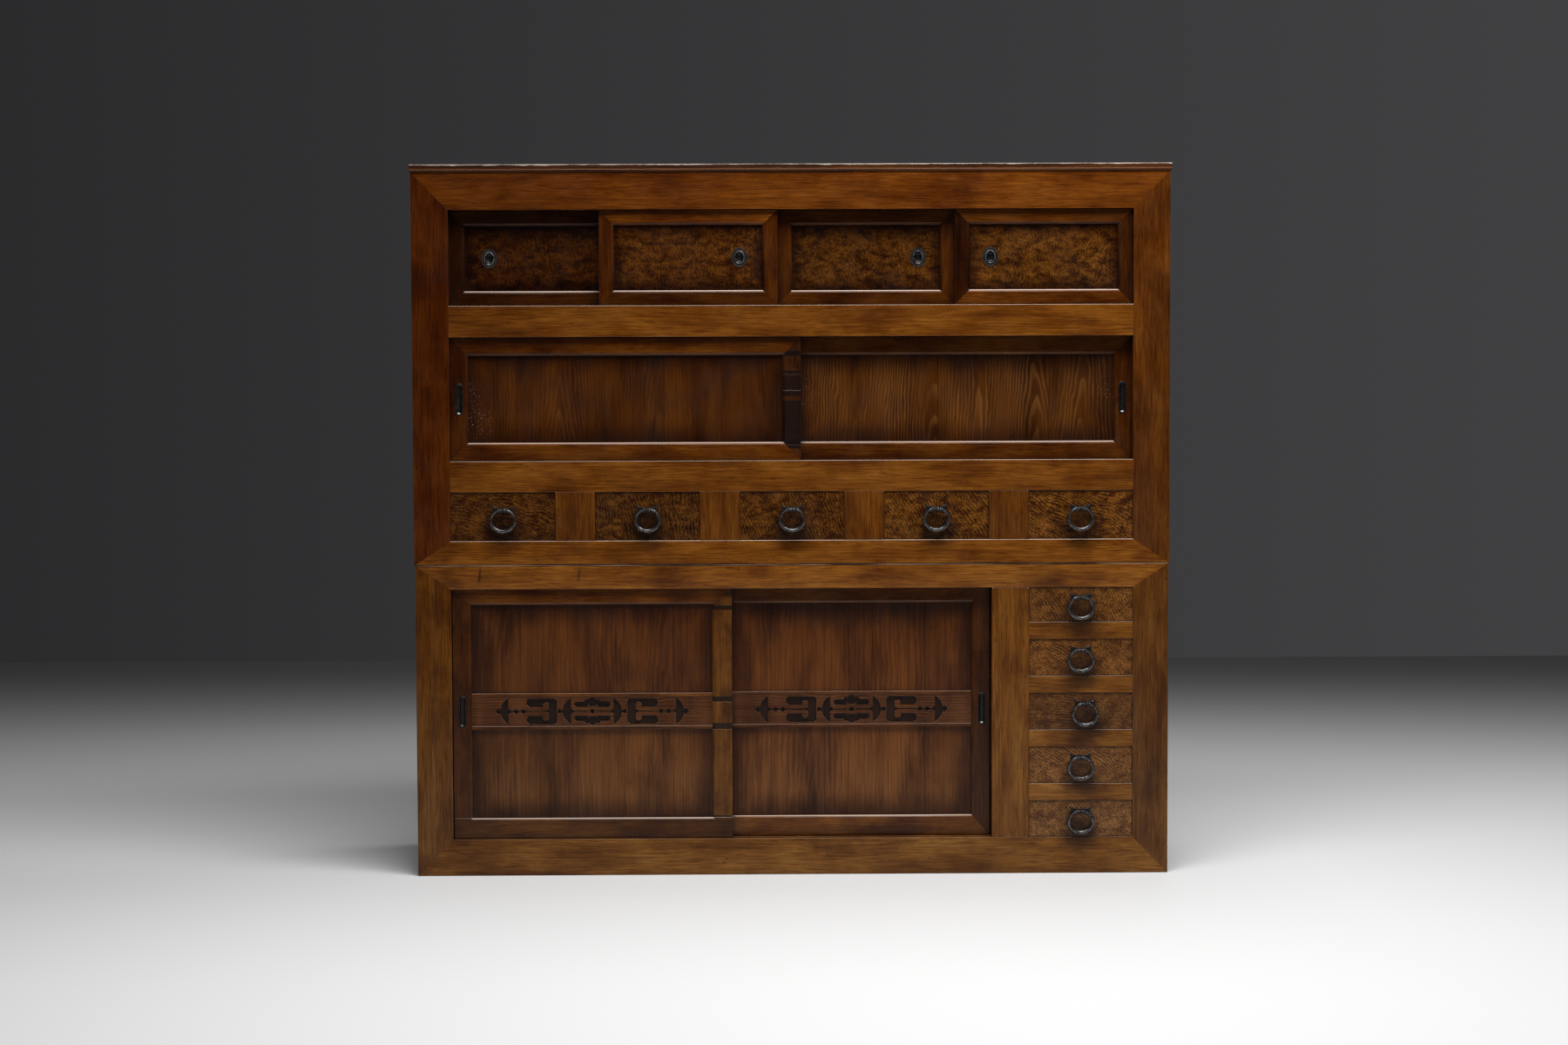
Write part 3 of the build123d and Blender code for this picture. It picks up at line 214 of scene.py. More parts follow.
# %% Finish
class Finish:
    """One node tree and short names for the nodes that it is made of."""

    def __init__(self, name, owners=bpy.data.materials):
        self.owner = owners.new(name)
        self.owner.use_nodes = True
        self.tree = self.owner.node_tree

    def fill(self, socket, value):
        if isinstance(value, Output):
            value = value.socket
        if isinstance(value, bpy.types.NodeSocket):
            self.tree.links.new(value, socket)
        else:
            socket.default_value = value

    def add(self, kind, values=(), **settings):
        """Adds a node with its settings. The values fill its sockets, in order or by name."""
        node = self.tree.nodes.new(kind)
        for name, value in settings.items():
            setattr(node, name, value)
        for key, value in values.items() if isinstance(values, dict) else enumerate(values):
            self.fill(node.inputs[key], value)
        return node

    def join(self, x, y, z):
        return Triple(self, self.add("ShaderNodeCombineXYZ", [x, y, z]).outputs[0])

    def attribute(self, name):
        return Triple(self, self.add("ShaderNodeAttribute", attribute_name=name).outputs["Vector"])

    def place(self):
        return Triple(self, self.add("ShaderNodeTexCoord").outputs["Object"])

    def noise(self, vector, scale, detail, roughness=0.5):
        values = {"Vector": vector, "Scale": scale, "Detail": detail, "Roughness": roughness}
        return Number(self, self.add("ShaderNodeTexNoise", values).outputs["Fac"])

    def cloud(self, vector, scale, detail):
        """A noise whose three colours are centred on zero, to shift a vector by."""
        node = self.add("ShaderNodeTexNoise", {"Vector": vector, "Scale": scale, "Detail": detail})
        return Triple(self, node.outputs["Color"]) - (0.5, 0.5, 0.5)

    def blend(self, first, second, share, kind="MIX"):
        """Mixes two colours. This node's colour sockets are 6 and 7, counted from 0."""
        node = self.add("ShaderNodeMix", {0: share, 6: first, 7: second}, data_type="RGBA", blend_type=kind,
                        clamp_factor=True)
        return Paint(self, node.outputs[2])

    def bump(self, height, depth, strength):
        values = {"Height": height, "Distance": depth, "Strength": strength}
        return self.add("ShaderNodeBump", values).outputs[0]

    def shade(self, **sockets):
        """Fills the main shader's sockets and gives the material back."""
        shader = self.tree.nodes["Principled BSDF"]
        for name, value in sockets.items():
            self.fill(shader.inputs[name.replace("_", " ")], value)
        return self.owner


def colour(red, green, blue):
    return (red, green, blue, 1.0)


print("a colour has", len(colour(0, 0, 0)), "numbers, the last one opaque")

# %% [markdown]
# ## Floor
# The cabinet stands on a pale floor that gets darker towards the wall. Light falling off
# could make that, but then the lamps would have to be placed for the floor and not for
# the cabinet, so the fall-off is painted shade instead: the floor's own colour fades to a
# darker grey with its distance.

# %% Floor
FLOOR_COLOUR = colour(0.685, 0.685, 0.685)
FAR_FLOOR_SHADE = colour(0.14, 0.14, 0.14)
FLOOR_SHADE_FADE = (0.5, 4.6)
FLOOR_HALF_WIDTH = 9.0
FLOOR_FRONT = -9.0
FLOOR_BACK = 4.75


def floor_finish():
    floor = Finish("studio_floor")
    # painted shade: the floor's colour darkens with distance, as the light would fall off
    far_shade = floor.place().parts()[1].between(*FLOOR_SHADE_FADE)
    return floor.shade(Base_Color=floor.blend(FLOOR_COLOUR, FAR_FLOOR_SHADE, far_shade), Roughness=0.7)


def make_floor():
    shape = bmesh.new()
    bmesh.ops.create_grid(shape, x_segments=1, y_segments=1, size=1.0)
    bmesh.ops.scale(shape, vec=(FLOOR_HALF_WIDTH, (FLOOR_BACK - FLOOR_FRONT) / 2, 1), verts=shape.verts)
    bmesh.ops.translate(shape, vec=(0, (FLOOR_BACK + FLOOR_FRONT) / 2, 0), verts=shape.verts)
    mesh = bpy.data.meshes.new("floor")
    shape.to_mesh(mesh)
    shape.free()
    mesh.materials.append(floor_finish())
    floor = bpy.data.objects.new("floor", mesh)
    bpy.context.scene.collection.objects.link(floor)
    return floor


print("floor", make_floor().dimensions[:])

# %% [markdown]
# ## Wall and lamps
# A dark grey wall stands far behind, a little paler on the right, where it is painted as
# if lit more. It is only the world's colour for rays that come from the camera, from a
# reflection or through something, so no wall is in the way when the cabinet is seen from
# behind. All other rays meet a plain grey. One large softbox hangs above the front, and a
# small one lights the floor at the back.

# %% Wall and lamps
WALL_COLOUR_LEFT = colour(0.0235, 0.0235, 0.0250)
# painted light: the wall's right side is paler, as if lit more
WALL_COLOUR_RIGHT_LIT = colour(0.0510, 0.0510, 0.0535)
WALL_FADE = (-0.28, 0.28)
AMBIENT_COLOUR = colour(0.10, 0.10, 0.102)


def make_world():
    sky = Finish("studio", bpy.data.worlds)
    ambient = sky.tree.nodes["Background"]
    sky.fill(ambient.inputs["Color"], AMBIENT_COLOUR)
    direction = Triple(sky, sky.add("ShaderNodeTexCoord").outputs["Generated"])
    across = sky.add("ShaderNodeMapRange", [direction.parts()[0], *WALL_FADE]).outputs[0]
    wall = sky.add("ShaderNodeBackground", [sky.blend(WALL_COLOUR_LEFT, WALL_COLOUR_RIGHT_LIT, across)])
    rays = sky.add("ShaderNodeLightPath").outputs
    straight, mirrored, through = [Number(sky, rays[f"Is {kind} Ray"])
                                   for kind in ("Camera", "Glossy", "Transmission")]
    sees_wall = straight.at_least(mirrored).at_least(through)
    chosen = sky.add("ShaderNodeMixShader", [sees_wall, ambient.outputs[0], wall.outputs[0]])
    sky.fill(sky.tree.nodes["World Output"].inputs[0], chosen.outputs[0])
    return sky.owner


def soft_lamp(name, place, target, width, height, watts):
    """A rectangular lamp at one point that shines at another."""
    data = bpy.data.lights.new(name, "AREA")
    data.shape = "RECTANGLE"
    data.size = width
    data.size_y = height
    data.energy = watts
    lamp = bpy.data.objects.new(name, data)
    direction = Vector(target) - Vector(place)
    turn = direction.to_track_quat("-Z", "Y").to_matrix().to_4x4()
    lamp.matrix_world = Matrix.Translation(place) @ turn
    bpy.context.scene.collection.objects.link(lamp)


bpy.context.scene.world = make_world()
soft_lamp("softbox", (0.54, -1.65, 3.75), (0.46, -1.15, 0), width=3.0, height=1.5, watts=205)
soft_lamp("rear_box", (0.8, 0.6, 3.7), (0.7, 0.6, 0), width=1.2, height=0.8, watts=28)
bpy.context.scene.view_settings.view_transform = "Standard"
print("lamps", [o.name for o in bpy.data.objects if o.type == "LIGHT"])

# %% [markdown]
# ## What each board tells its finish
# Real boards differ: each has its own length, its own piece of tree and its own edges.
# A material for every board would be hundreds of materials, so each board carries
# attributes instead, which one finish reads. `board_place` is the point measured along,
# across and through that board from its middle, so grain always runs along it.
# `board_half` is half the board's size, and the difference of the two says how far the
# nearest edges are, which is where hands and rags have worn the finish. `board_tone`
# holds how light and how red the board is, and a chance number that moves its pattern.

# %% Where a point lies in its board
def left_over(wood):
    """How far a point is from the board's ends, its long sides and its broad faces."""
    return (wood.attribute("board_half") - abs(wood.attribute("board_place"))).parts()


def edge_distance(wood):
    """Distance from the nearest edge of the face: the middle one, as the least is 0 there."""
    along, across, through = left_over(wood)
    return along.at_most(across).at_least(along.at_least(across).at_most(through))


def own_place(wood):
    """The point in the board, moved by chance so that no two boards share a pattern."""
    number = wood.attribute("board_tone").parts()[2]
    return wood.attribute("board_place") + wood.join(number * 7.0, number * 3.1, number)


def grain(place, along, across, detail, roughness=0.5):
    """A noise with fineness of its own along and across the board: small numbers stretch it."""
    return place.finish.noise(place * (along, across, across), 1.0, detail, roughness)


print("attributes: board_place, board_half, board_tone")

# %% [markdown]
# ## Soot and painted light
# A kitchen cabinet stands near an open hearth. Soot settled on it in clouds that don't
# care about the grain. The upper left is glazed darker, and low down the wood is painted
# greyer and paler, a painted reflection of the pale floor. A picture of stains could do
# this, but then it would have to fit every board. Here all of these are glazes by place,
# so they run over the joints as they do on the real one.

# %% Soot and painted light
TOP_Z = frame_box[1][2]
RED_TINT = colour(0.92, 0.58, 0.30)
SOOT_TINT = colour(0.34, 0.24, 0.20)
UPPER_LEFT_TINT = colour(0.30, 0.18, 0.10)
FLOOR_SHEEN_TINT = colour(1.22, 1.40, 2.2)


def height_share(wood):
    """0 at the foot of the cabinet and 1 at its top."""
    return wood.place().parts()[2] / TOP_Z


def soot_and_sheen(wood, base, soot, washing):
    """Makes a board as light and red as its tone says, then adds soot, a darker upper left and a painted
    floor sheen low down.
    """
    light, red, _ = wood.attribute("board_tone").parts()
    base = base.glazed(light + 1.0)
    base = base.glazed(RED_TINT, red)
    where = wood.place()
    cloud = wood.noise(where, 5.5, 4.0, 0.62)
    base = base.glazed(SOOT_TINT, cloud.between(0.50, 0.70) * soot)
    # painted reflection of the pale floor: the lower wood glazed greyer and paler
    base = base.glazed(FLOOR_SHEEN_TINT, height_share(wood).between(0.06, 0.36, washing, 0.0))
    x, _, z = where.parts()
    # glazes the upper left of the cabinet darker
    return base.glazed(UPPER_LEFT_TINT, x.between(-0.90, 0.60, 0.46, 0.0) * z.between(0.80, 1.40))


print("highest point for the smoke", round(TOP_Z, 3))

# %% [markdown]
# ## Rims and pulls
# Each panel is painted darker along its rim, a painted shade where the frame's recess
# shades it, and a darker cloud lies round and below every pull. Both are found by
# distance: from the sides of the door's opening, and from the nearest pull. A noise in
# the distance makes their edges ragged, as an even border would look sprayed on.

# %% Rims and pulls
DRAWERS = [f"{row}_drawer_{number}" for row in ("top", "side") for number in range(1, 6)]
PULL_BOXES = [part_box(drawer + "_ring") for drawer in DRAWERS]
HALO_DROP = 0.030
HALO_SQUASH = (1.0, 0.2, 1.15)
RIM_SHADE_TINT = colour(0.26, 0.17, 0.12)
PULL_HALO_TINT = colour(0.20, 0.17, 0.17)


def painted_rim_shade(wood, base, reach, share):
    """Paints shade on a panel near its frame. `field_place` is the point in the door's opening."""
    left = wood.attribute("field_half") - abs(wood.attribute("field_place"))
    from_side, from_top, _ = left.parts()
    ragged = wood.noise(wood.place(), 18.0, 3.0)
    edge = from_side.at_most(from_top) - ragged * (0.8 * reach)
    # painted shade near the edge of the door's opening
    return base.glazed(RIM_SHADE_TINT, edge.between(-0.4 * reach, reach, share, 0.0))


def pull_halo(wood, base):
    """A darker cloud round and below every ring pull."""
    where = wood.place()
    nearest = None
    for low, high in PULL_BOXES:
        middle = ((low[0] + high[0]) / 2, low[1], (low[2] + high[2]) / 2 - HALO_DROP)
        gone = ((where - middle) * HALO_SQUASH).length()
        nearest = gone if nearest is None else nearest.at_most(gone)
    gone = nearest - wood.noise(where, 24.0, 3.0) * 0.040
    # darkens a cloud round and below each pull
    return base.glazed(PULL_HALO_TINT, gone.between(0.000, 0.052, 0.80, 0.0))


print("pulls with soot", len(PULL_BOXES))

# %% [markdown]
# ## Worn edges, painted highlights, dirt and painted shade
# The lacquer is rubbed through where things drag over it. Slanted surfaces are the worn
# arrises, and a strip along the upward ones is painted palest, which is wear and also a
# painted highlight of the lamp above. What faces down is a little pale, a faint painted
# reflection of the floor. The angle is read from the true normal, because the smoothed one
# leans on flat faces too and would bleach them. Dirt and painted shade lie where a rag
# can't go and little light comes, which is what the ambient occlusion node measures. Old
# lacquer shines less than a new varnish, so all the woods share one low gloss level.

# %% Worn edges, painted highlights, dirt and shade
GLOSS = 0.17
BARE_WOOD_AND_HIGHLIGHT = colour(0.50, 0.385, 0.315)
DIRT_AND_SHADE_COLOUR = colour(0.012, 0.005, 0.003)


def wear_and_highlight(wood, place, wear):
    """How bare the wood is, with painted highlights on upward arrises and a faint painted floor reflection on
    downward ones, from 0 to 1.
    """
    normal = Triple(wood, wood.add("ShaderNodeNewGeometry").outputs["True Normal"])
    faces_up = normal.parts()[2]
    x, y, z = abs(normal).parts()
    squareness = x.at_least(y).at_least(z)
    arris = squareness.between(0.90, 0.99, 1.0, 0.0)
    fine_edge = squareness.between(0.84, 0.88) * arris
    reach = grain(place, 30.0, 140.0, 2.0) * 0.0034 - 0.0004
    near_edge = ((reach - edge_distance(wood)) / 0.0009).between(0.0, 1.0)
    # painted highlight: a pale strip along upward arrises, where the lamp above shines in
    rubbed_and_lit = left_over(wood)[1].between(0.0018, 0.0030, 1.8, 0.15) * faces_up.between(0.15, 0.45)
    # faint painted reflection of the floor on downward arrises
    touched_and_lit = faces_up.between(-0.45, -0.15, 0.12, 0.01).at_least(fine_edge * 0.06)
    return (near_edge.at_least(arris) * (rubbed_and_lit.at_least(touched_and_lit) * wear)).at_most(1.0)


def aged_and_shaded(wood, base, place, soot=0.5, wear=0.6, dirt=0.8, dirt_reach=0.03, washing=1.0):
    """Adds what happens to every board, with painted floor sheen, highlights and shade, and gives the worn
    places back for the polish.
    """
    base = soot_and_sheen(wood, base, soot, washing)
    worn_and_lit = wear_and_highlight(wood, place, wear)
    base = base.painted(BARE_WOOD_AND_HIGHLIGHT, worn_and_lit)
    # painted shade and dirt where the ambient occlusion finds corners and recesses
    node = wood.add("ShaderNodeAmbientOcclusion", {"Distance": dirt_reach}, samples=6)
    dirt_and_shade_mask = (1.0 - Number(wood, node.outputs["AO"])).between(0.25, 0.85)
    return base.painted(DIRT_AND_SHADE_COLOUR, dirt_and_shade_mask * dirt), worn_and_lit


def polish(wood, scale, low, high):
    """Roughness that wanders between two values, as wax and hands leave it."""
    return wood.noise(wood.place(), scale, 3.0).between(0.3, 0.7, low, high)


def lacquered(wood, base, roughness, relief, depth=0.0003, strength=0.7):
    """The last layer of every wood: thin lacquer over a little relief."""
    return wood.shade(Base_Color=base, Roughness=roughness, Normal=wood.bump(relief, depth, strength),
                      Specular_IOR_Level=GLOSS)


print("gloss of all woods", GLOSS)

# %% [markdown]
# ## Marks
# A few marks are at places of their own. The upper case was set down on the lower one
# many times, so their joint is full of grime and has knocks below it. Pin holes and open
# pores are everywhere, as a noise that is cut off high. Bands across a door's stile or a
# shadow along a strip are made by height, with noise on their edges.

# %% Marks
JOINT_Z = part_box("lower_front_rails")[1][2]
KNOCK_SLANT = 0.12
JOINT_GRIME = colour(0.010, 0.004, 0.002)
Knock = namedtuple("Knock", "x below_joint half_width half_height strength")
KNOCKS = (Knock(-0.728, 0.0235, 0.0036, 0.0180, 0.70), Knock(-0.497, 0.0220, 0.0044, 0.0170, 0.45),
          Knock(-0.145, 0.0075, 0.0090, 0.0030, 0.60), Knock(-0.126, 0.0090, 0.0018, 0.0045, 0.60))


def joint_marks(wood, base):
    where = wood.place()
    x, _, z = where.parts()
    broken = grain(where, 4.0, 60.0, 2.0).between(0.36, 0.52, 0.35, 1.0)
    base = base.painted(JOINT_GRIME, abs(z - JOINT_Z).between(0.0022, 0.0030, 0.95, 0.0) * broken)
    ragged = wood.noise(where, 260.0, 2.0) * 1.4
    for knock in KNOCKS:
        height = z - (JOINT_Z - knock.below_joint)
        across = abs(x - (height * KNOCK_SLANT + knock.x)) / knock.half_width
        gone = across.at_least(abs(height) / knock.half_height) + ragged
        base = base.painted(JOINT_GRIME, gone.between(1.1, 2.0, knock.strength, 0.0))
    return base


def small_marks(wood, place):
    """Pin holes and open pores: a few short dark marks along the grain."""
    patches = wood.noise(place, 7.0, 1.0)
    return grain(place, 70.0, 260.0, 1.0).between(0.72, 0.79) * patches.between(0.42, 0.6)


def bands(wood, bands_by_height, soft):
    """Soft horizontal bands, each given as (height, half height, strength)."""
    where = wood.place()
    z = (wood.noise(where, 70.0, 2.0) - 0.5) * 0.004 + where.parts()[2]
    total = None
    for height, half, strength in bands_by_height:
        band = abs(z - height).between(half - soft, half + soft, strength, 0.0)
        total = band if total is None else total.at_least(band)
    return total


print("joint of the cases at", round(JOINT_Z, 4), "with", len(KNOCKS), "knocks")

# %% [markdown]
# ## Plain boards of the case and of the door frames
# Posts and rails are of a close brown wood under thin lacquer. A picture of wood would
# repeat on so many boards, so three noises lie over each other: long soft blotches,
# narrow streaks and fine fibres along the grain. A slow push makes the grain wander a
# little, as no tree grows dead straight.

# %% Plain wood
def plain_wood(name, dark, middle, light, shine=0.26, on_front=False, **age):
    wood = Finish(name)
    place = own_place(wood)
    place = place + wood.cloud(place * (3.0, 9.0, 9.0), 1.0, 2.0) * (0.0, 0.020, 0.020)
    blotch = grain(place, 5.0, 17.0, 4.0, 0.62)
    streak = grain(place, 2.4, 230.0, 4.0, 0.70)
    fibre = grain(place, 14.0, 620.0, 2.0, 0.6)
    marks = small_marks(wood, place)

    base = wood.blend(dark, middle, blotch.between(0.30, 0.56))
    base = base.painted(light, blotch.between(0.46, 0.72, 0.0, 0.70))
    base = base.glazed(colour(1.45, 1.55, 1.60), streak.between(0.46, 0.72, 0.0, 0.75))
    base = base.glazed(colour(0.60, 0.50, 0.38), streak.between(0.32, 0.46, 0.55, 0.0))
    base = base.glazed(colour(0.52, 0.42, 0.30), fibre.between(0.42, 0.68))
    base = base.painted(colour(0.010, 0.003, 0.001), marks * 0.9)
    if on_front:
        base = pull_halo(wood, base)
    base, worn_and_lit = aged_and_shaded(wood, base, place, **age)
    if on_front:
        base = joint_marks(wood, base)
    roughness = polish(wood, 14.0, shine - 0.04, shine + 0.07) + worn_and_lit * 0.06
    return lacquered(wood, base, roughness, fibre * 0.5 - marks * 0.4 + blotch * 0.8, strength=0.6)


case_wood = plain_wood(
    "case_wood", colour(0.076, 0.0215, 0.0014), colour(0.132, 0.0440, 0.0040), colour(0.192, 0.0740, 0.0092),
    on_front=True, soot=0.55, wear=0.5)
door_wood = plain_wood(
    "door_wood", colour(0.034, 0.0072, 0.0003), colour(0.068, 0.0185, 0.0012), colour(0.110, 0.0360, 0.0036),
    shine=0.24, soot=0.6, wear=0.42)
inner_wood = plain_wood(
    "dry_wood", colour(0.150, 0.078, 0.036), colour(0.250, 0.145, 0.072), colour(0.36, 0.23, 0.125),
    shine=0.70, soot=0.35, wear=0.2, dirt=0.6, washing=0.15)
print("plain woods", case_wood.name, door_wood.name, inner_wood.name)

# %% [markdown]
# ## Year rings of a cedar board
# A flat-sawn cedar board shows cathedrals: tall arches where the saw crossed the year
# rings. A wave texture gives only stripes. Rings are tubes round the middle of the tree,
# so the distance from a slightly leaning line makes the arches by itself, and a noise
# makes them uneven. Chance moves the middle of the tree from board to board.

# %% Year rings
TREE_MIDDLE_REACH = 0.085
SIDE_WANDER, FINE_WANDER, DEPTH_WANDER = 0.036, 0.0055, 0.016
MIDDLE_DEPTH = 0.002
ARCH_START = 0.24


def ring_lines(wood, gap, lean):
    """Year rings of a board that was sawn off a leaning tree, as 0..1 inside each ring."""
    along, across, _ = wood.attribute("board_place").parts()
    number = wood.attribute("board_tone").parts()[2]
    place = own_place(wood)
    side, away, _ = wood.cloud(place * (5.0, 15.0, 15.0), 1.0, 3.0).parts()
    fine_side = wood.cloud(place * (22.0, 60.0, 60.0), 1.0, 2.0).parts()[0]
    middle = (number * 37.0).apply("SINE") * TREE_MIDDLE_REACH
    across = across - middle + side * SIDE_WANDER + fine_side * FINE_WANDER
    steep = (number * 11.0).apply("SINE") * (0.7 * lean) + lean
    depth = (along + ARCH_START) * steep + MIDDLE_DEPTH + away * DEPTH_WANDER
    radius = (across ** 2.0 + depth ** 2.0).apply("SQRT")
    return (radius / gap).apply("FRACT")


print("arches start", ARCH_START, "m below a board's middle")

# %% [markdown]
# ## Marks and painted light of the panels
# The wide doors have short pale scratches at four places. On the lower doors the foot
# is painted paler, a painted reflection of the floor, and the panel behind the pierced
# band is painted dark as its shadow. Scratches could be cut into the boards, but they are
# too fine and shallow for that, so they are painted.

# %% Marks of the panels
BAND_SHADOW = (0.3845, 0.0345, 0.88)
SCRATCHES = ((-0.752, -0.20, 1.12), (0.035, -0.18, 1.13), (0.735, -0.18, 1.13), (-0.735, -0.20, 1.06))


def scratched(wood, base):
    """Short pale scratches round the places that hands and keys have hit."""
    where = wood.place()
    fine = grain(where, 520.0, 260.0, 1.0).between(0.69, 0.73)
    for spot in SCRATCHES:
        near = (where - spot).length().between(0.004, 0.055, 0.9, 0.0)
        base = base.painted(colour(0.36, 0.26, 0.17), near * fine)
    return base


def foot_sheen_and_band_shadow(wood, base):
    """The painted floor sheen on the foot of the lower panels, and the painted shadow behind their pierced
    band.
    """
    # painted reflection of the floor: the foot glazed paler and greyer
    base = base.glazed(colour(1.18, 1.36, 1.60), height_share(wood).between(0.08, 0.26, 1.0, 0.0))
    # painted shadow of the pierced band on the panel behind it
    return base.painted(colour(0.007, 0.003, 0.002), bands(wood, [BAND_SHADOW], 0.001))


print("places with scratches", len(SCRATCHES))

# %% [markdown]
# ## Cedar panels
# Stained cedar turns inside out: the soft early wood drinks the stain and goes dark, and
# the hard ring lines stay paler. So the lines are painted over a dark ground. The first
# number of `board_figure` says how clearly a panel shows its rings. Broad clouds belong
# to the whole door and run over its boards, since they were stained together.

# %% Cedar
def cedar(name, dark, light, line_colour, gap, lean, line, marks=None, rim=(0.045, 0.8), wear=0.05,
          fibres=0.8, dirt_reach=0.03):
    wood = Finish(name)
    place = own_place(wood)
    ring = ring_lines(wood, gap, lean)
    late = ring.between(0.35, 0.86) * ring.between(0.90, 1.0, 1.0, 0.0)
    fade = grain(place, 3.0, 12.0, 3.0).between(0.38, 0.62) * 0.85 + 0.15
    late = late * fade * wood.attribute("board_figure").parts()[0]
    fibre = grain(place, 6.0, 420.0, 2.0)
    over_door = wood.attribute("field_place") * (14.0, 3.0, 1.0)
    broad = wood.noise(over_door if rim else place * (3.0, 14.0, 14.0), 1.0, 4.0, 0.6)

    base = wood.blend(dark, light, broad.between(0.30, 0.66))
    base = base.painted(line_colour, late * line)
    base = base.glazed(colour(0.25, 0.18, 0.14), edge_distance(wood).between(0.0003, 0.0016, 0.4, 0.0))
    base = base.glazed(colour(0.60, 0.50, 0.42), fibre.between(0.45, 0.68, 0.0, fibres))
    base = base.painted(colour(0.010, 0.004, 0.002), small_marks(wood, place) * 0.8)
    if rim:
        # painted shade along the rim of the panel
        base = painted_rim_shade(wood, base, *rim)
    base, _ = aged_and_shaded(wood, base, place, soot=0.50, wear=wear, dirt=0.9, dirt_reach=dirt_reach)
    if marks:
        base = marks(wood, base)
    return lacquered(wood, base, polish(wood, 11.0, 0.24, 0.40), late + fibre * 0.5)


wide_cedar = cedar("wide_panel_cedar", colour(0.030, 0.0070, 0.0005), colour(0.080, 0.0235, 0.0022),
                   colour(0.175, 0.0700, 0.0150), gap=0.0070, lean=0.065, line=0.60, marks=scratched,
                   fibres=0.5)
# a short reach keeps the painted shade and dirt at the edges of the band's holes
lower_cedar = cedar("lower_panel_cedar", colour(0.032, 0.0075, 0.0009), colour(0.098, 0.0285, 0.0040),
                    colour(0.170, 0.0620, 0.0120), gap=0.0105, lean=0.05, line=0.22, marks=foot_sheen_and_band_shadow,
                    rim=(0.050, 0.85), dirt_reach=0.009)
# a high wear paints the band's top edge and hole rims pale: wear and a painted highlight
band_cedar = cedar("band_cedar", colour(0.030, 0.0076, 0.0013), colour(0.074, 0.0220, 0.0046),
                   colour(0.150, 0.0560, 0.0150), gap=0.0060, lean=0.03, line=0.50, rim=(0.012, 0.3),
                   wear=3.5)
side_cedar = cedar("side_panel_cedar", colour(0.050, 0.0120, 0.0010), colour(0.100, 0.0300, 0.0034),
                   colour(0.170, 0.0660, 0.0140), gap=0.0090, lean=0.06, line=0.45, rim=None)
print("cedars", wide_cedar.name, lower_cedar.name, band_cedar.name, side_cedar.name)

# %% [markdown]
# ## Rings of a burr
# Drawer fronts and small door panels were cut from a burr, where the rings swirl. They
# start here as evenly spaced straight lines and are pushed about by a slow noise. A
# large push gives knots and islands, a small one leaves wavy lines. The small ripple
# across the lines is the curl of the fibres. `board_figure` says for each board which
# way its lines run and how hard they swirl in its middle and at its ends.

# %% Rings of a burr
RIPPLES = math.tau / 0.0105


def burr_rings(wood, place, push, gap, cell, ripple):
    """Swirling rings, as 0..1 inside each ring."""
    angle, middle_swirl, end_swirl = wood.attribute("board_figure").parts()
    along, across, _ = wood.attribute("board_place").parts()
    half_length = wood.attribute("board_half").parts()[0]
    calm = (abs(along) / half_length).between(0.45, 0.95)
    swirl = middle_swirl + calm * (end_swirl - middle_swirl)

    push_along, push_across, _ = push.parts()
    along = along + push_along
    across = across + push_across
    cosine = angle.apply("COSINE")
    sine = angle.apply("SINE")
    straight = along * cosine + across * sine
    crosswise = across * cosine - along * sine
    slow = grain(place + push, cell, cell * 1.2, 1.5, 0.4)
    wave = (slow * 55.0 + crosswise * RIPPLES).apply("SINE")
    curl = wave * wood.noise(place, 34.0, 2.0).between(0.35, 0.65, 0.0, ripple)
    return ((straight + curl) / gap + slow * swirl).apply("FRACT")


print("ripples per metre", round(RIPPLES / math.tau))

# %% [markdown]
# ## Figured fronts
# Each ring of the burr is a glowing strip with a dark line in its middle. The line is
# drawn by the distance from the ring's middle, with a width and a strength that wander,
# as a line of one width looks printed. Patches, crumbs and pores break the rest up.

# %% Figured wood
def figured_wood(name, ground, glow, line_colour, gap, line_share, cell, crumple, ripple, soot=0.35,
                 rim=None):
    wood = Finish(name)
    place = own_place(wood)
    push = wood.cloud(place, 105.0, 3.0) * (2.4 * crumple, 2.4 * crumple, 2.4 * crumple)
    warped = place + push
    ring = burr_rings(wood, place, push, gap, cell, ripple)
    width = wood.noise(place, 75.0, 2.0).between(0.3, 0.7, 0.12, 0.38)
    line = (1.0 - abs(ring - 0.5) / width).at_least(0.0)
    line = line ** 0.55 * wood.noise(place, 26.0, 2.0).between(0.32, 0.55, 0.30, 1.0) * line_share
    patch = grain(warped, 38.0, 62.0, 4.0, 0.6)
    crumbs = wood.noise(warped, 170.0, 3.0, 0.6)
    pore = wood.noise(warped, 300.0, 2.0)

    base = wood.blend(ground, glow, patch.between(0.30, 0.64))
    base = base.painted(ground, ring.between(0.5, 1.0, 0.0, 0.50))
    base = base.painted(line_colour, line)
    base = base.glazed(colour(0.45, 0.36, 0.28), crumbs.between(0.42, 0.62, 0.0, 0.75))
    base = base.glazed(colour(0.50, 0.40, 0.30), pore.between(0.48, 0.66, 0.0, 0.8))
    # painted shade on the rims of door panels; on drawers, the darker cloud round the pull
    base = painted_rim_shade(wood, base, *rim) if rim else pull_halo(wood, base)
    base, _ = aged_and_shaded(wood, base, place, soot=soot, wear=0.12, dirt=0.9)
    return lacquered(wood, base, polish(wood, 12.0, 0.22, 0.36), pore * 0.30 - line * 0.45)


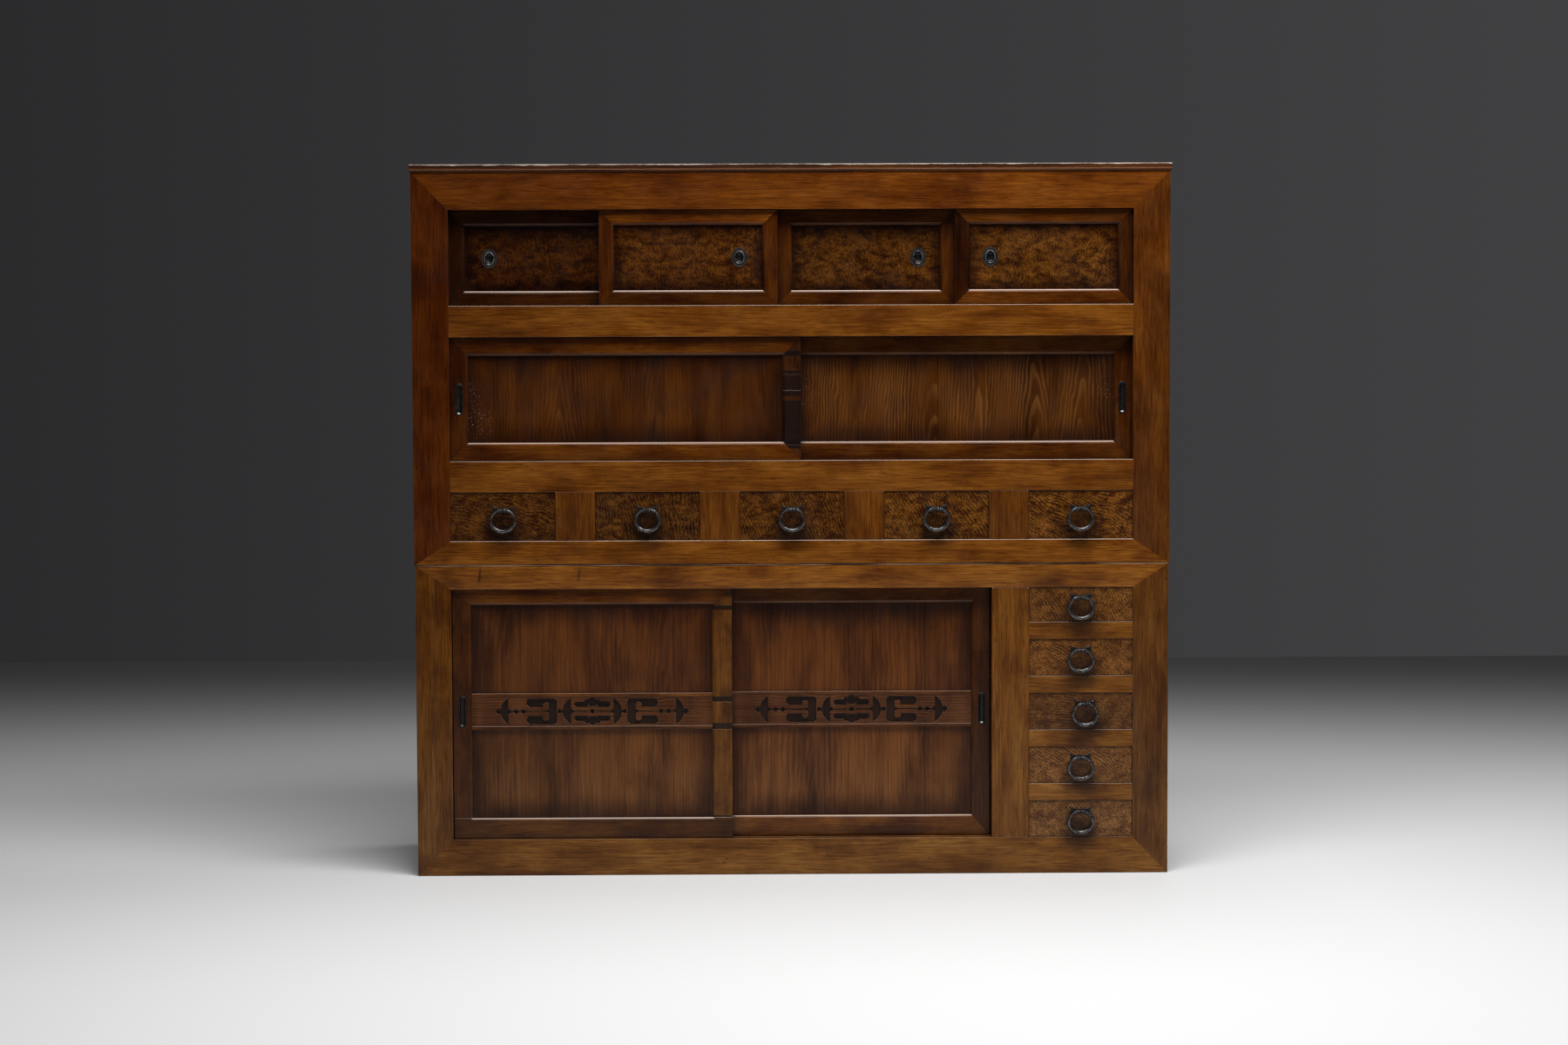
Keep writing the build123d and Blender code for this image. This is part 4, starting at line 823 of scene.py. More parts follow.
top_burr = figured_wood("top_drawer_burr", colour(0.060, 0.0150, 0.0009), colour(0.240, 0.0900, 0.0115),
                        colour(0.0120, 0.0027, 0.0002), gap=0.0072, line_share=0.95, cell=14.0,
                        crumple=0.0026, ripple=0.0016)
side_burr = figured_wood("side_drawer_burr", colour(0.112, 0.0400, 0.0074), colour(0.240, 0.0980, 0.0190),
                         colour(0.026, 0.0080, 0.0016), gap=0.0058, line_share=0.90, cell=6.0,
                         crumple=0.0011, ripple=0.0010)
door_burr = figured_wood("small_door_burr", colour(0.036, 0.0092, 0.0006), colour(0.165, 0.0600, 0.0070),
                         colour(0.012, 0.0028, 0.0002), gap=0.0066, line_share=0.70, cell=15.0,
                         crumple=0.0026, ripple=0.0016, soot=0.5, rim=(0.030, 0.9))
print("figured woods", top_burr.name, side_burr.name, door_burr.name)

# %% [markdown]
# ## Meeting stiles
# Where two doors overlap, the front one's stile has been patched and handled most. The
# lower one is a golden strip crossed by dark rounded bands. The upper one has thick dark
# lacquer with a few pale scrape lines, and its dark bands are painted reflections in
# that glossy lacquer. The bands could be boards of their own, but they are as thin as
# paint, so both stiles are painted by height.

# %% Meeting stiles
LOWER_DARK_BANDS = ((0.664, 0.012, 0.65), (0.627, 0.0055, 0.95), (0.412, 0.0065, 0.95),
                    (0.349, 0.0075, 0.9), (0.131, 0.0075, 0.85), (0.097, 0.020, 0.55))
LOWER_PALE_BANDS = ((0.4050, 0.0007, 0.35), (0.3405, 0.0007, 0.3))
# painted reflections: dark bands across the glossy upper stile
UPPER_REFLECTION_BANDS = ((1.2195, 0.006, 0.9), (1.150, 0.030, 0.75), (1.060, 0.050, 0.8), (1.010, 0.012, 0.9))
UPPER_PALE_BANDS = ((1.133, 0.0007, 0.35), (1.170, 0.0006, 0.12), (1.006, 0.0006, 0.15))


def meeting_stile(name, dark, light, dark_bands, pale_bands, band_colour, pale_colour, shine):
    wood = Finish(name)
    place = own_place(wood)
    fibre = grain(place, 9.0, 380.0, 2.0)
    fine = fibre.between(0.44, 0.66, 0.0, 0.8)
    specks = wood.noise(place, 420.0, 2.0).between(0.60, 0.70, 0.0, 0.5)
    deep = bands(wood, dark_bands, 0.0012)

    base = wood.blend(dark, light, grain(place, 9.0, 16.0, 4.0, 0.65).between(0.36, 0.64))
    base = base.glazed(colour(0.60, 0.52, 0.45), fine + specks * (1.0 - fine))
    base = base.painted(band_colour, deep)
    base, _ = aged_and_shaded(wood, base, place, soot=0.3, wear=0.35, dirt=0.8)
    base = base.painted(pale_colour, bands(wood, pale_bands, 0.0004))
    roughness = deep.between(0.0, 1.0, shine, shine - 0.08)
    return lacquered(wood, base, roughness, fibre * 0.3 - deep, 0.0004, 0.6)


lower_meeting_wood = meeting_stile(
    "lower_meeting_stile", colour(0.050, 0.0150, 0.0012), colour(0.118, 0.0400, 0.0040),
    LOWER_DARK_BANDS, LOWER_PALE_BANDS, colour(0.010, 0.0045, 0.002), colour(0.30, 0.17, 0.08), 0.34)
# the upper stile's dark bands are painted reflections in a neutral grey
upper_meeting_wood = meeting_stile(
    "upper_meeting_stile", colour(0.018, 0.0045, 0.0012), colour(0.052, 0.0155, 0.0030),
    UPPER_REFLECTION_BANDS, UPPER_PALE_BANDS, colour(0.005, 0.0042, 0.0042), colour(0.22, 0.19, 0.17), 0.26)
print("meeting stiles", lower_meeting_wood.name, upper_meeting_wood.name)

# %% [markdown]
# ## Cornice
# The top board's front edge has lost its lacquer to a century of lids and boxes slid
# over it, so it shows a ragged pale rim, which is also a painted highlight of that lit
# edge. Below it runs a brown fascia with a thin orange line from the moulding plane. The
# rim is found by place: near the top, and near the front or a side, each with noise in its
# limit.

# %% Cornice
FRONT_Y = frame_box[0][1]
SIDE_X = frame_box[1][0]
MOULDING_LINE = (0.0108, 0.0010, 0.8)
RIM_START = 0.004


def cornice_finish():
    wood = Finish("cornice_wood")
    place = own_place(wood)
    x, y, z = wood.place().parts()
    fibre = grain(place, 8.0, 380.0, 2.0)
    ragged = grain(place, 26.0, 120.0, 4.0, 0.7)
    below_top, half_height, strength = MOULDING_LINE
    line = bands(wood, [(TOP_Z - below_top, half_height, strength)], 0.0004)

    base = wood.blend(colour(0.024, 0.0062, 0.0008), colour(0.074, 0.0240, 0.0035),
                      grain(place, 2.5, 30.0, 4.0, 0.6).between(0.35, 0.65))
    base = base.glazed(colour(0.60, 0.55, 0.50), fibre.between(0.44, 0.66, 0.0, 0.8))
    base = base.painted(colour(0.22, 0.070, 0.012), line)
    base, _ = aged_and_shaded(wood, base, place, soot=0.4, wear=0.2, dirt=0.5)
    # the pale top rim: bare wood and a painted highlight
    start = TOP_Z + RIM_START - (ragged + wood.noise(place, 4.0, 2.0)) * 0.0062
    inward = (y - FRONT_Y).at_most(SIDE_X - abs(x)) - ragged * 0.020
    bare_and_lit = (z - start).between(0.0, 0.0010) * inward.between(-0.006, 0.004, 1.0, 0.12)
    base = base.painted(colour(0.42, 0.34, 0.28), bare_and_lit)
    return lacquered(wood, base, bare_and_lit.between(0.0, 1.0, 0.42, 0.65), fibre * 0.3 - bare_and_lit, 0.0008, 0.8)


cornice_wood = cornice_finish()
print("cornice", cornice_wood.name)

# %% [markdown]
# ## Iron
# Forged iron was blackened with silk and lacquer, so it is close to black with a dull
# film. Fingers keep the rings smooth, and have rubbed the rims of the cups and the upper
# edges of the plates bare. These pale parts and the lower inner end of the long cups are
# also painted highlights: pale iron where the lamp above shines in. A coat of one gloss
# would look like plastic, so one noise varies the gloss and browns the film with rust, and
# another makes small hammer marks. The four kinds of iron differ only in their film and
# their shine.

# %% Iron
def iron_finish(name, film, shine):
    iron = Finish(name)
    where = iron.place()
    blotch = iron.noise(where, 140.0, 3.0)
    hammer = iron.noise(where, 320.0, 2.0)
    base = iron.blend(film, colour(0.036, 0.029, 0.024), blotch.between(0.40, 0.66))
    roughness = blotch.between(0.35, 0.70, shine, shine + 0.16)
    return iron.shade(Base_Color=base, Metallic=0.85, Roughness=roughness,
                      Normal=iron.bump(hammer, 0.00022, 0.7))


ring_iron = iron_finish("ring_iron", colour(0.105, 0.105, 0.108), 0.22)
plate_iron = iron_finish("plate_iron", colour(0.020, 0.020, 0.021), 0.40)
cup_iron = iron_finish("cup_iron", colour(0.022, 0.021, 0.021), 0.36)
bare_and_lit_iron = iron_finish("bare_and_lit_iron", colour(0.420, 0.420, 0.430), 0.24)
print("iron", ring_iron.name, plate_iron.name, cup_iron.name, bare_and_lit_iron.name)

# %% [markdown]
# ## Finding the boards of a node
# A node of the frame is one mesh of several boards that only touch. Separating it by
# loose parts would do once its doubles are merged, but then touching boards would grow
# together. The solids are stored one after another, so each is found by its edges: a
# solid is complete when every edge has met the same edge running the other way.

# %% Boards of a node
MERGE = 0.00001
NEARLY_FLAT = math.radians(1.0)


def board_ranges(mesh):
    """The first triangle of each board and the first one after it."""
    ranges, start, waiting = [], 0, {}
    points = [tuple(round(c, 5) for c in vertex.co) for vertex in mesh.vertices]
    for polygon in mesh.polygons:
        corners = [points[index] for index in polygon.vertices]
        for first, second in zip(corners, corners[1:] + corners[:1]):
            if first == second:
                continue
            if waiting.get((second, first), 0) > 1:
                waiting[(second, first)] -= 1
            elif (second, first) in waiting:
                del waiting[(second, first)]
            else:
                waiting[(first, second)] = waiting.get((first, second), 0) + 1
        if not waiting:
            ranges.append((start, polygon.index + 1))
            start = polygon.index + 1
    return ranges


def one_board(mesh, first, last):
    """A clean closed bmesh of the triangles first to last of a CAD mesh."""
    shape = bmesh.new()
    shape.from_mesh(mesh)
    others = [face for face in shape.faces if not first <= face.index < last]
    bmesh.ops.delete(shape, geom=others, context="FACES")
    bmesh.ops.remove_doubles(shape, verts=shape.verts, dist=MERGE)
    bmesh.ops.dissolve_limit(shape, angle_limit=NEARLY_FLAT, verts=shape.verts, edges=shape.edges)
    return shape


def box_of(points):
    """The lowest and highest corner round some points."""
    low = Vector([min(point[axis] for point in points) for axis in range(3)])
    high = Vector([max(point[axis] for point in points) for axis in range(3)])
    return low, high


print("cornice_board has", len(board_ranges(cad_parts["cornice_board"].data)), "boards")

# %% [markdown]
# ## Softened edges
# The boards' edges are as sharp as numbers. Planes and hands round them, the long rails
# of the case most and thin boards least. A bevel modifier would round all edges of a
# node alike, so bmesh bevels each board by itself. Mitred corners of a frame are planed
# flush after gluing and stay sharp. Touching boards keep their own bevels, which meet in
# the fine dark line that real joints have.

# %% Soften
SHARP = math.radians(24.0)
PANEL_THICKNESS = 0.0055
BAND_THICKNESS = 0.0065
THIN_BOARD = 0.0095
SHORT_RAIL = 0.5
SLANT = 0.3
LONG_RAIL_ROUND, BAND_ROUND, BOARD_ROUND, SMALL_ROUND = 0.0020, 0.0011, 0.0009, 0.0004


def round_edges(shape, edges, width):
    bmesh.ops.bevel(shape, geom=edges, offset=width, offset_type="OFFSET", segments=2, profile=0.5,
                    affect="EDGES", clamp_overlap=True, material=-1)


def is_slanted(edge):
    """True for an edge that runs neither level nor upright, seen from the front."""
    run = edge.verts[1].co - edge.verts[0].co
    return min(abs(run.x), abs(run.z)) > SLANT * run.length


def edge_width(node, size):
    """How far a board's edges are rounded."""
    if "lower_door" in node and PANEL_THICKNESS < min(size) < BAND_THICKNESS:
        return BAND_ROUND
    is_short = node == "lower_front_rails" and max(size) < SHORT_RAIL
    if min(size) < THIN_BOARD or is_short or node == "upper_drawer_spacers":
        return SMALL_ROUND
    return LONG_RAIL_ROUND if node in ("upper_front_rails", "lower_front_rails") else BOARD_ROUND


def soften(shape, node, size):
    sharp = [edge for edge in shape.edges if edge.is_manifold and edge.calc_face_angle() > SHARP]
    if min(size) > THIN_BOARD:
        sharp = [edge for edge in sharp if not is_slanted(edge)]
    round_edges(shape, sharp, edge_width(node, size))


print("a long case rail is rounded by", edge_width("upper_front_rails", (1.6, 0.06, 0.03)))

# %% [markdown]
# ## The look of each board
# A joiner picks a board for each place, and these tables do the same. A look is a
# finish, how light and how red the board is, and for figured boards the direction of
# the lines and how hard they swirl. The left post is darker and redder than the right
# one, rails are golden, and each drawer front came from another part of the burr.

# %% Looks of doors and drawers
Look = namedtuple("Look", "finish light red angle middle_swirl end_swirl", defaults=[0.0] * 5)
FrameTones = namedtuple("FrameTones", "stiles bottom top")

DOOR_FRAME_TONES = {
    "small_door_1": FrameTones(-0.62, -0.35, -0.45), "small_door_2": FrameTones(-0.10, -0.15, 0.85),
    "small_door_3": FrameTones(-0.30, 0.10, -0.10), "small_door_4": FrameTones(-0.55, 0.38, 0.25),
    "wide_door_left": FrameTones(-0.22, 0.35, 0.25), "wide_door_right": FrameTones(-0.24, 0.15, 0.10),
    "lower_door_left": FrameTones(-0.28, -0.20, 0.35), "lower_door_right": FrameTones(-0.34, 0.45, 0.05),
}
MEETING_STILES = {"lower_door_left": (-0.2, lower_meeting_wood), "wide_door_left": (-0.1, upper_meeting_wood)}
DOOR_PANEL_LOOKS = {
    "small_door_1": Look(door_burr, -0.44, 0.5, 0.0, 9.0, 2.5),
    "small_door_2": Look(door_burr, -0.16, 0.2, 0.0, 9.0, 2.0),
    "small_door_3": Look(door_burr, -0.18, 0.1, 0.0, 9.0, 2.0),
    "small_door_4": Look(door_burr, 0.00, 0.0, 0.0, 9.0, 2.0),
    "wide_door_left": Look(wide_cedar, -0.15, 0.2, 0.40),
    "wide_door_right": Look(wide_cedar, -0.02, 0.0, 0.90),
    "lower_door_left": Look(lower_cedar, -0.05, 0.0, 0.8),
    "lower_door_right": Look(lower_cedar, 0.08, 0.1, 0.9),
}
DRAWER_LOOKS = {
    "top_drawer_1": Look(top_burr, -0.42, 0.2, 1.25, 5.5, 5.0),
    "top_drawer_2": Look(top_burr, -0.42, 0.1, 0.15, 4.5, 3.0),
    "top_drawer_3": Look(top_burr, -0.35, 0.1, 0.35, 4.0, 3.5),
    "top_drawer_4": Look(top_burr, -0.17, 0.0, 0.55, 4.5, 3.5),
    "top_drawer_5": Look(top_burr, -0.03, 0.0, 1.15, 5.0, 4.0),
    "side_drawer_1": Look(side_burr, 0.00, 0.0, 0.50, 12.0, 10.0),
    "side_drawer_2": Look(side_burr, 0.00, 0.1, 1.00, 12.0, 12.0),
    "side_drawer_3": Look(side_burr, -0.28, 0.1, 1.30, 14.0, 12.0),
    "side_drawer_4": Look(side_burr, 0.00, 0.1, 1.10, 12.0, 14.0),
    "side_drawer_5": Look(side_burr, -0.05, 0.0, 0.70, 12.0, 12.0),
}


print("looks of", len(DOOR_PANEL_LOOKS), "doors and", len(DRAWER_LOOKS), "drawers")

# %% [markdown]
# ## The look of a door's board
# A door's boards all touch, and nothing but their shape tells them apart: the panel is
# thinnest, then the pierced band, and a stile is taller than wide. Names would be surer,
# but one node holds the whole door.

# %% Look of a door's board
def door_look(node, low, high):
    """Looks of a door: panel boards, pierced band, meeting stile, beads and frame."""
    thickness = high.y - low.y
    if thickness < PANEL_THICKNESS:
        return DOOR_PANEL_LOOKS[node]
    if thickness < BAND_THICKNESS:
        return Look(band_cedar, angle=1.0)
    if node in MEETING_STILES:
        stile_left, finish = MEETING_STILES[node]
        if low.x > stile_left:
            return Look(finish)
    tones = DOOR_FRAME_TONES[node]
    if high.z - low.z > high.x - low.x:
        return Look(door_wood, tones.stiles, 0.3)
    door_low, door_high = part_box(node)
    is_top = low.z > (door_low[2] + door_high[2]) / 2
    return Look(door_wood, tones.top if is_top else tones.bottom)


print("a panel is thinner than", PANEL_THICKNESS, "and a band thinner than", BAND_THICKNESS)

# %% [markdown]
# ## The look of the case's boards
# Boards that nobody sees were left dry and rough, as stain and lacquer cost money. The
# side panels are cedar too, with a case frame round them. Some nodes hold both kinds of
# board, so a board's place and thickness say which one it is.

# %% Looks of the case
INNER_NODES = ("upper_back_boards", "upper_shelves", "lower_back_boards", "lower_shelves",
               "lower_drawer_case")
THIN_SIDE_PANEL = 0.009
FRONT_BOARD_Y = -0.21
DIVIDER_X = 0.7
UPPER_TOP_RAIL_Z = 1.5
LOWER_TOP_RAIL_Z = 0.6


def case_look(node, low, high):
    """Looks of the boards that don't move."""
    width = high.x - low.x
    if node == "cornice_board":
        return Look(cornice_wood, -0.2, 0.2)
    if node == "upper_front_stiles":
        return Look(case_wood, -0.42, 1.0) if low.x < 0 else Look(case_wood, -0.30, 0.5)
    if node == "lower_front_stiles":
        outer = -0.28 if low.x < 0 else -0.40
        return Look(case_wood, -0.06 if abs(low.x) < DIVIDER_X else outer, 0.1)
    if node == "upper_front_rails":
        return Look(case_wood, -0.10, 0.6) if low.z > UPPER_TOP_RAIL_Z else Look(case_wood, 0.16, 0.12)
    if node == "lower_front_rails" and width > 1.0:
        return Look(case_wood, 0.46 if low.z > LOWER_TOP_RAIL_Z else 0.05)
    if node == "lower_front_rails":
        return Look(case_wood, 0.12)
    if node == "upper_drawer_spacers":
        return Look(case_wood, -0.22, 0.3) if low.y < FRONT_BOARD_Y else Look(inner_wood)
    if node == "upper_side_panels" or (node == "lower_side_walls" and width < THIN_SIDE_PANEL):
        return Look(side_cedar, 0.0, 0.1, 0.8)
    return Look(inner_wood) if node in INNER_NODES else Look(case_wood, -0.15, 0.3)


def look_of(node, low, high):
    if "door" in node:
        return door_look(node, low, high)
    if node in DRAWER_LOOKS:
        return DRAWER_LOOKS[node] if low.y < FRONT_BOARD_Y else Look(inner_wood)
    return case_look(node, low, high)


print("nodes of dry boards", len(INNER_NODES))

# %% [markdown]
# ## What the boards' attributes say
# The finishes read attributes, so each board's numbers are written on all its points. A
# board lies along its longest side, then across its second, so the three sides are
# sorted by length. A door's panel also knows its place in the visible opening, which
# the smoke on its rim needs.

# %% Attributes
HIDDEN_RIM = 0.006
Board = namedtuple("Board", "first last low high look number")


def opening_of(node, boards):
    """The visible field of a door's panel: its boards without what the grooves hide."""
    panel = [board for board in boards if "door" in node and board.high.y - board.low.y < PANEL_THICKNESS]
    low, high = box_of([corner for board in panel or boards for corner in (board.low, board.high)])
    hidden = Vector((HIDDEN_RIM, 0, HIDDEN_RIM))
    return (low + hidden, high - hidden) if panel else (low, high)


def tell_boards(mesh, boards, low, high):
    """Writes the attributes that the finishes read, for every point of every board."""
    rows = {"board_place": [], "board_half": [], "board_tone": [], "board_figure": [], "field_place": []}
    field_middle = (low + high) / 2
    field_half = (high - low) / 2
    for board in boards:
        middle = (board.low + board.high) / 2
        half = (board.high - board.low) / 2
        look = board.look
        order = sorted(range(3), key=lambda axis: -half[axis])
        for vertex in mesh.vertices[board.first:board.last]:
            rows["board_place"].extend(vertex.co[axis] - middle[axis] for axis in order)
            rows["board_half"].extend(half[axis] for axis in order)
            rows["board_tone"].extend((look.light, look.red, board.number))
            rows["board_figure"].extend((look.angle, look.middle_swirl, look.end_swirl))
            rows["field_place"].extend((vertex.co.x - field_middle.x, vertex.co.z - field_middle.z, 0.0))
    rows["field_half"] = [field_half.x, field_half.z, 0.0] * len(mesh.vertices)
    for name, values in rows.items():
        mesh.attributes.new(name, "FLOAT_VECTOR", "POINT").data.foreach_set("vector", values)


print("a groove hides", HIDDEN_RIM, "m of a panel")

# %% [markdown]
# ## One dressed board
# A board is taken out of its node, gets its look and its soft edges, and joins the mesh
# of the whole node. Chance makes boards of one kind a little lighter or darker, cedar
# most. A finish can't draw chance for a whole board, since it only knows single points.

# %% One board
EVEN_SPREAD = 0.05
UNEVEN_SPREAD = 0.13
PATTERN_REACH = 9.0
chance = random.Random(23)


def add_board(whole, cad, first, last, node, finishes):
    """Adds one softened board to the node's mesh, and says what it is."""
    shape = one_board(cad, first, last)
    low, high = box_of([vertex.co for vertex in shape.verts])
    look = look_of(node, low, high)
    spread = UNEVEN_SPREAD if look.finish in (wide_cedar, lower_cedar, inner_wood) else EVEN_SPREAD
    look = look._replace(light=look.light + chance.uniform(-spread, spread))
    soften(shape, node, high - low)
    if look.finish not in finishes:
        finishes.append(look.finish)
    for face in shape.faces:
        face.smooth = True
        face.material_index = finishes.index(look.finish)
    count = len(whole.verts)
    board = Board(count, count + len(shape.verts), low, high, look, chance.uniform(0.0, PATTERN_REACH))
    mesh = bpy.data.meshes.new("board")
    shape.to_mesh(mesh)
    shape.free()
    whole.from_mesh(mesh)
    bpy.data.meshes.remove(mesh)
    return board


print("boards of one kind differ by", EVEN_SPREAD, "to", UNEVEN_SPREAD)

# %% [markdown]
# ## Dressed nodes
# Each wooden node becomes one mesh of softened boards. It rides on the same body as its
# node and replaces it. One mesh keeps the boards of a door together, and material slots
# give them their finishes. Weighted normals keep the broad faces flat beside their
# bevels.

# %% Dress the wooden nodes
CREASE = math.radians(50)


def add_piece(name, mesh, body, node):
    """Puts a mesh in the scene, on its body and in place of its node."""
    piece = bpy.data.objects.new(name, mesh)
    bpy.context.scene.collection.objects.link(piece)
    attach(piece, body)
    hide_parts(node)
    return piece


def dress(node, body, slot):
    """Shows a wooden node as softened boards, each with its own look."""
    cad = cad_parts[node].data
    whole = bmesh.new()
    finishes = []
    boards = [add_board(whole, cad, first, last, node, finishes) for first, last in board_ranges(cad)]
    mesh = bpy.data.meshes.new(node + "_boards")
    whole.to_mesh(mesh)
    whole.free()
    for finish in finishes:
        mesh.materials.append(finish)
    tell_boards(mesh, boards, *opening_of(node, boards))
    mesh.set_sharp_from_angle(angle=CREASE)
    piece = add_piece(node + "_boards", mesh, body, node)
    piece.modifiers.new("flat_faces", "WEIGHTED_NORMAL").keep_sharp = True
    return len(boards)


ROOT_NODES = {
    "cornice_board": "frame_wood", "upper_front_stiles": "frame_wood", "upper_front_rails": "frame_wood",
    "upper_drawer_spacers": "frame_wood", "upper_side_frames": "frame_wood",
    "upper_side_panels": "panel_wood",
    "upper_back_boards": "inner_wood", "upper_shelves": "inner_wood", "lower_front_stiles": "frame_wood",
    "lower_front_rails": "frame_wood", "lower_side_walls": "frame_wood", "lower_back_boards": "inner_wood",
    "lower_shelves": "inner_wood", "lower_drawer_case": "inner_wood",
}
board_count = sum(dress(node, "root", slot) for node, slot in ROOT_NODES.items())
for node in DOOR_PANEL_LOOKS:
    board_count += dress(node, node, "figured_wood" if "small" in node else "panel_wood")
for node in DRAWER_LOOKS:
    board_count += dress(node, node, "figured_wood")
print("dressed", board_count, "boards")

# %% [markdown]
# ## The bar of a ring
# A ring is one iron rod: a straight bar that runs in the eye of a split pin, and a loop
# that hangs from it. The bar has turned beads, which keep the eye in its middle. They
# could be balls put on a rod, but a lathe makes rod and beads from one profile.

# %% Turned bar
ORIGIN = (0, 0, 0)
BAR_WAIST = 0.0022
BEADS = (0.0046, 0.0088)
BEAD_HALF_WIDTH, BEAD_NECK, BEAD_RISE = 0.0019, 0.0020, 0.0018
SAME_POINT = 0.000001


def bar_radius(x):
    """Radius of the turned bar: a waist, two beads on each side and necks between."""
    radius = BAR_WAIST
    for bead in BEADS:
        away = (abs(x) - bead) / BEAD_HALF_WIDTH
        if abs(away) < 1:
            radius = max(radius, BEAD_NECK + BEAD_RISE * math.sqrt(1 - away * away))
    return radius


def lathe(shape, profile, axis, steps, start=0.0):
    """Spins a chain of (place on the axis, radius) points once round the axis."""
    points = [shape.verts.new(axis * along + Vector((0, 0, radius))) for along, radius in profile]
    edges = [shape.edges.new(pair) for pair in zip(points, points[1:])]
    bmesh.ops.rotate(shape, cent=ORIGIN, matrix=Matrix.Rotation(start, 3, axis), verts=points)
    bmesh.ops.spin(shape, geom=points + edges, cent=ORIGIN, axis=axis, angle=math.tau, steps=steps,
                   use_merge=True)
    bmesh.ops.remove_doubles(shape, verts=shape.verts, dist=SAME_POINT)
    bmesh.ops.recalc_face_normals(shape, faces=shape.faces)


print("radius of a bead", round(bar_radius(BEADS[0]), 4))

# %% [markdown]
# ## Ring pulls
# The loop thickens towards its bottom, where the fingers pull. A torus would give a loop
# of one thickness, so a circle is spun round an arc instead, then flattened to an
# ellipse and thickened by how far each point is from the top.

# %% Ring pull
X_AXIS = Vector((1, 0, 0))
Y_AXIS = Vector((0, 1, 0))
RING_HALF_WIDTH, RING_HALF_HEIGHT = 0.0280, 0.0256
BAR_RADIUS, BOTTOM_RADIUS, BAR_HALF = 0.0027, 0.0047, 0.0105
BAR_OVERLAP, BAR_STEPS = 0.0004, 64
RING_START = math.asin(BAR_HALF / RING_HALF_WIDTH)
ROD_SIDES, LOOP_STEPS = 20, 64


def ring_shape():
    """A ring about its own pivot, hanging down."""
    shape = bmesh.new()
    start = bmesh.ops.create_circle(shape, cap_ends=True, radius=1.0, segments=ROD_SIDES)["verts"]
    faces = list(shape.faces)
    bmesh.ops.rotate(shape, cent=ORIGIN, matrix=Matrix.Rotation(math.pi / 2, 3, "Y"), verts=start)
    bmesh.ops.scale(shape, vec=Vector((BAR_RADIUS,) * 3), verts=start)
    bmesh.ops.translate(shape, vec=(0, 0, RING_HALF_WIDTH), verts=start)
    bmesh.ops.rotate(shape, cent=ORIGIN, matrix=Matrix.Rotation(RING_START, 3, "Y"), verts=start)
    bmesh.ops.spin(shape, geom=faces, cent=ORIGIN, axis=Y_AXIS, angle=math.tau - 2 * RING_START,
                   steps=LOOP_STEPS)
    for vertex in shape.verts:
        angle = math.atan2(vertex.co.x, vertex.co.z)
        middle = Vector((math.sin(angle), 0, math.cos(angle))) * RING_HALF_WIDTH
        growth = (1 - math.cos(angle)) / 2
        offset = (vertex.co - middle) * (1 + (BOTTOM_RADIUS / BAR_RADIUS - 1) * growth)
        vertex.co = middle + offset
        vertex.co.z = middle.z * RING_HALF_HEIGHT / RING_HALF_WIDTH + offset.z
    top = RING_HALF_HEIGHT * math.cos(RING_START)
    bmesh.ops.translate(shape, vec=(0, 0, -top), verts=shape.verts)
    ends = BAR_HALF + BAR_OVERLAP
    steps = [-ends + 2 * ends * index / BAR_STEPS for index in range(BAR_STEPS + 1)]
    bar = [(-ends, 0.0)] + [(x, bar_radius(x)) for x in steps] + [(ends, 0.0)]
    lathe(shape, bar, X_AXIS, ROD_SIDES)
    return shape


one_ring = ring_shape()
print("ring faces", len(one_ring.faces))

# %% [markdown]
# ## Split pins and nails
# The pin's eye comes through the middle of the plate and carries the bar. Its two legs
# go through the drawer front and are bent flat inside. Two nails with hammered heads
# hold the plate. The eye could be a ready torus, but a circle of wire that is spun round
# the bar's own axis fits the bar whatever its size.

# %% Split pin and nails
EYE_RADIUS, EYE_WIRE_RADIUS = 0.0046, 0.0013
PIN_BLOCKS = (((0, 0.0156, 0), (0.0026, 0.0242, 0.0050)),  # the shank's middle and size
              ((0, 0.0291, 0), (0.0026, 0.0012, 0.0240)))  # the bent legs'
NAIL_X, NAIL_Z, NAIL_RADIUS, NAIL_SINK = 0.0205, 0.0040, 0.0019, 0.0001


def add_pin(shape):
    """The pin's eye round the bar, its shank through the wood and its bent legs."""
    wire = bmesh.ops.create_circle(shape, radius=EYE_WIRE_RADIUS, segments=12)["verts"]
    bmesh.ops.translate(shape, vec=(0, -EYE_RADIUS, 0), verts=wire)
    edges = list({edge for vertex in wire for edge in vertex.link_edges})
    bmesh.ops.spin(shape, geom=wire + edges, cent=ORIGIN, axis=X_AXIS, angle=math.tau, steps=24,
                   use_merge=True)
    for middle, size in PIN_BLOCKS:
        block = bmesh.ops.create_cube(shape, size=1.0)["verts"]
        bmesh.ops.scale(shape, vec=size, verts=block)
        bmesh.ops.translate(shape, vec=middle, verts=block)


def add_nail_head(shape, x, y, z):
    """A round head: a ball, half of it sunk in the plate."""
    ball = bmesh.ops.create_uvsphere(shape, u_segments=16, v_segments=12, radius=NAIL_RADIUS)["verts"]
    bmesh.ops.rotate(shape, cent=ORIGIN, matrix=Matrix.Rotation(math.pi / 2, 3, "X"), verts=ball)
    bmesh.ops.translate(shape, vec=(x, y + NAIL_SINK, z), verts=ball)


print("wire of the eyes", 2 * EYE_WIRE_RADIUS)

# %% [markdown]
# ## Back plates
# The plate behind each ring is cut like a bat with raised ears, so that the ring's
# shoulders have something to rest on. It is one flat face with a drawn outline, made
# thick by an extrusion, as a smith cuts it from sheet.

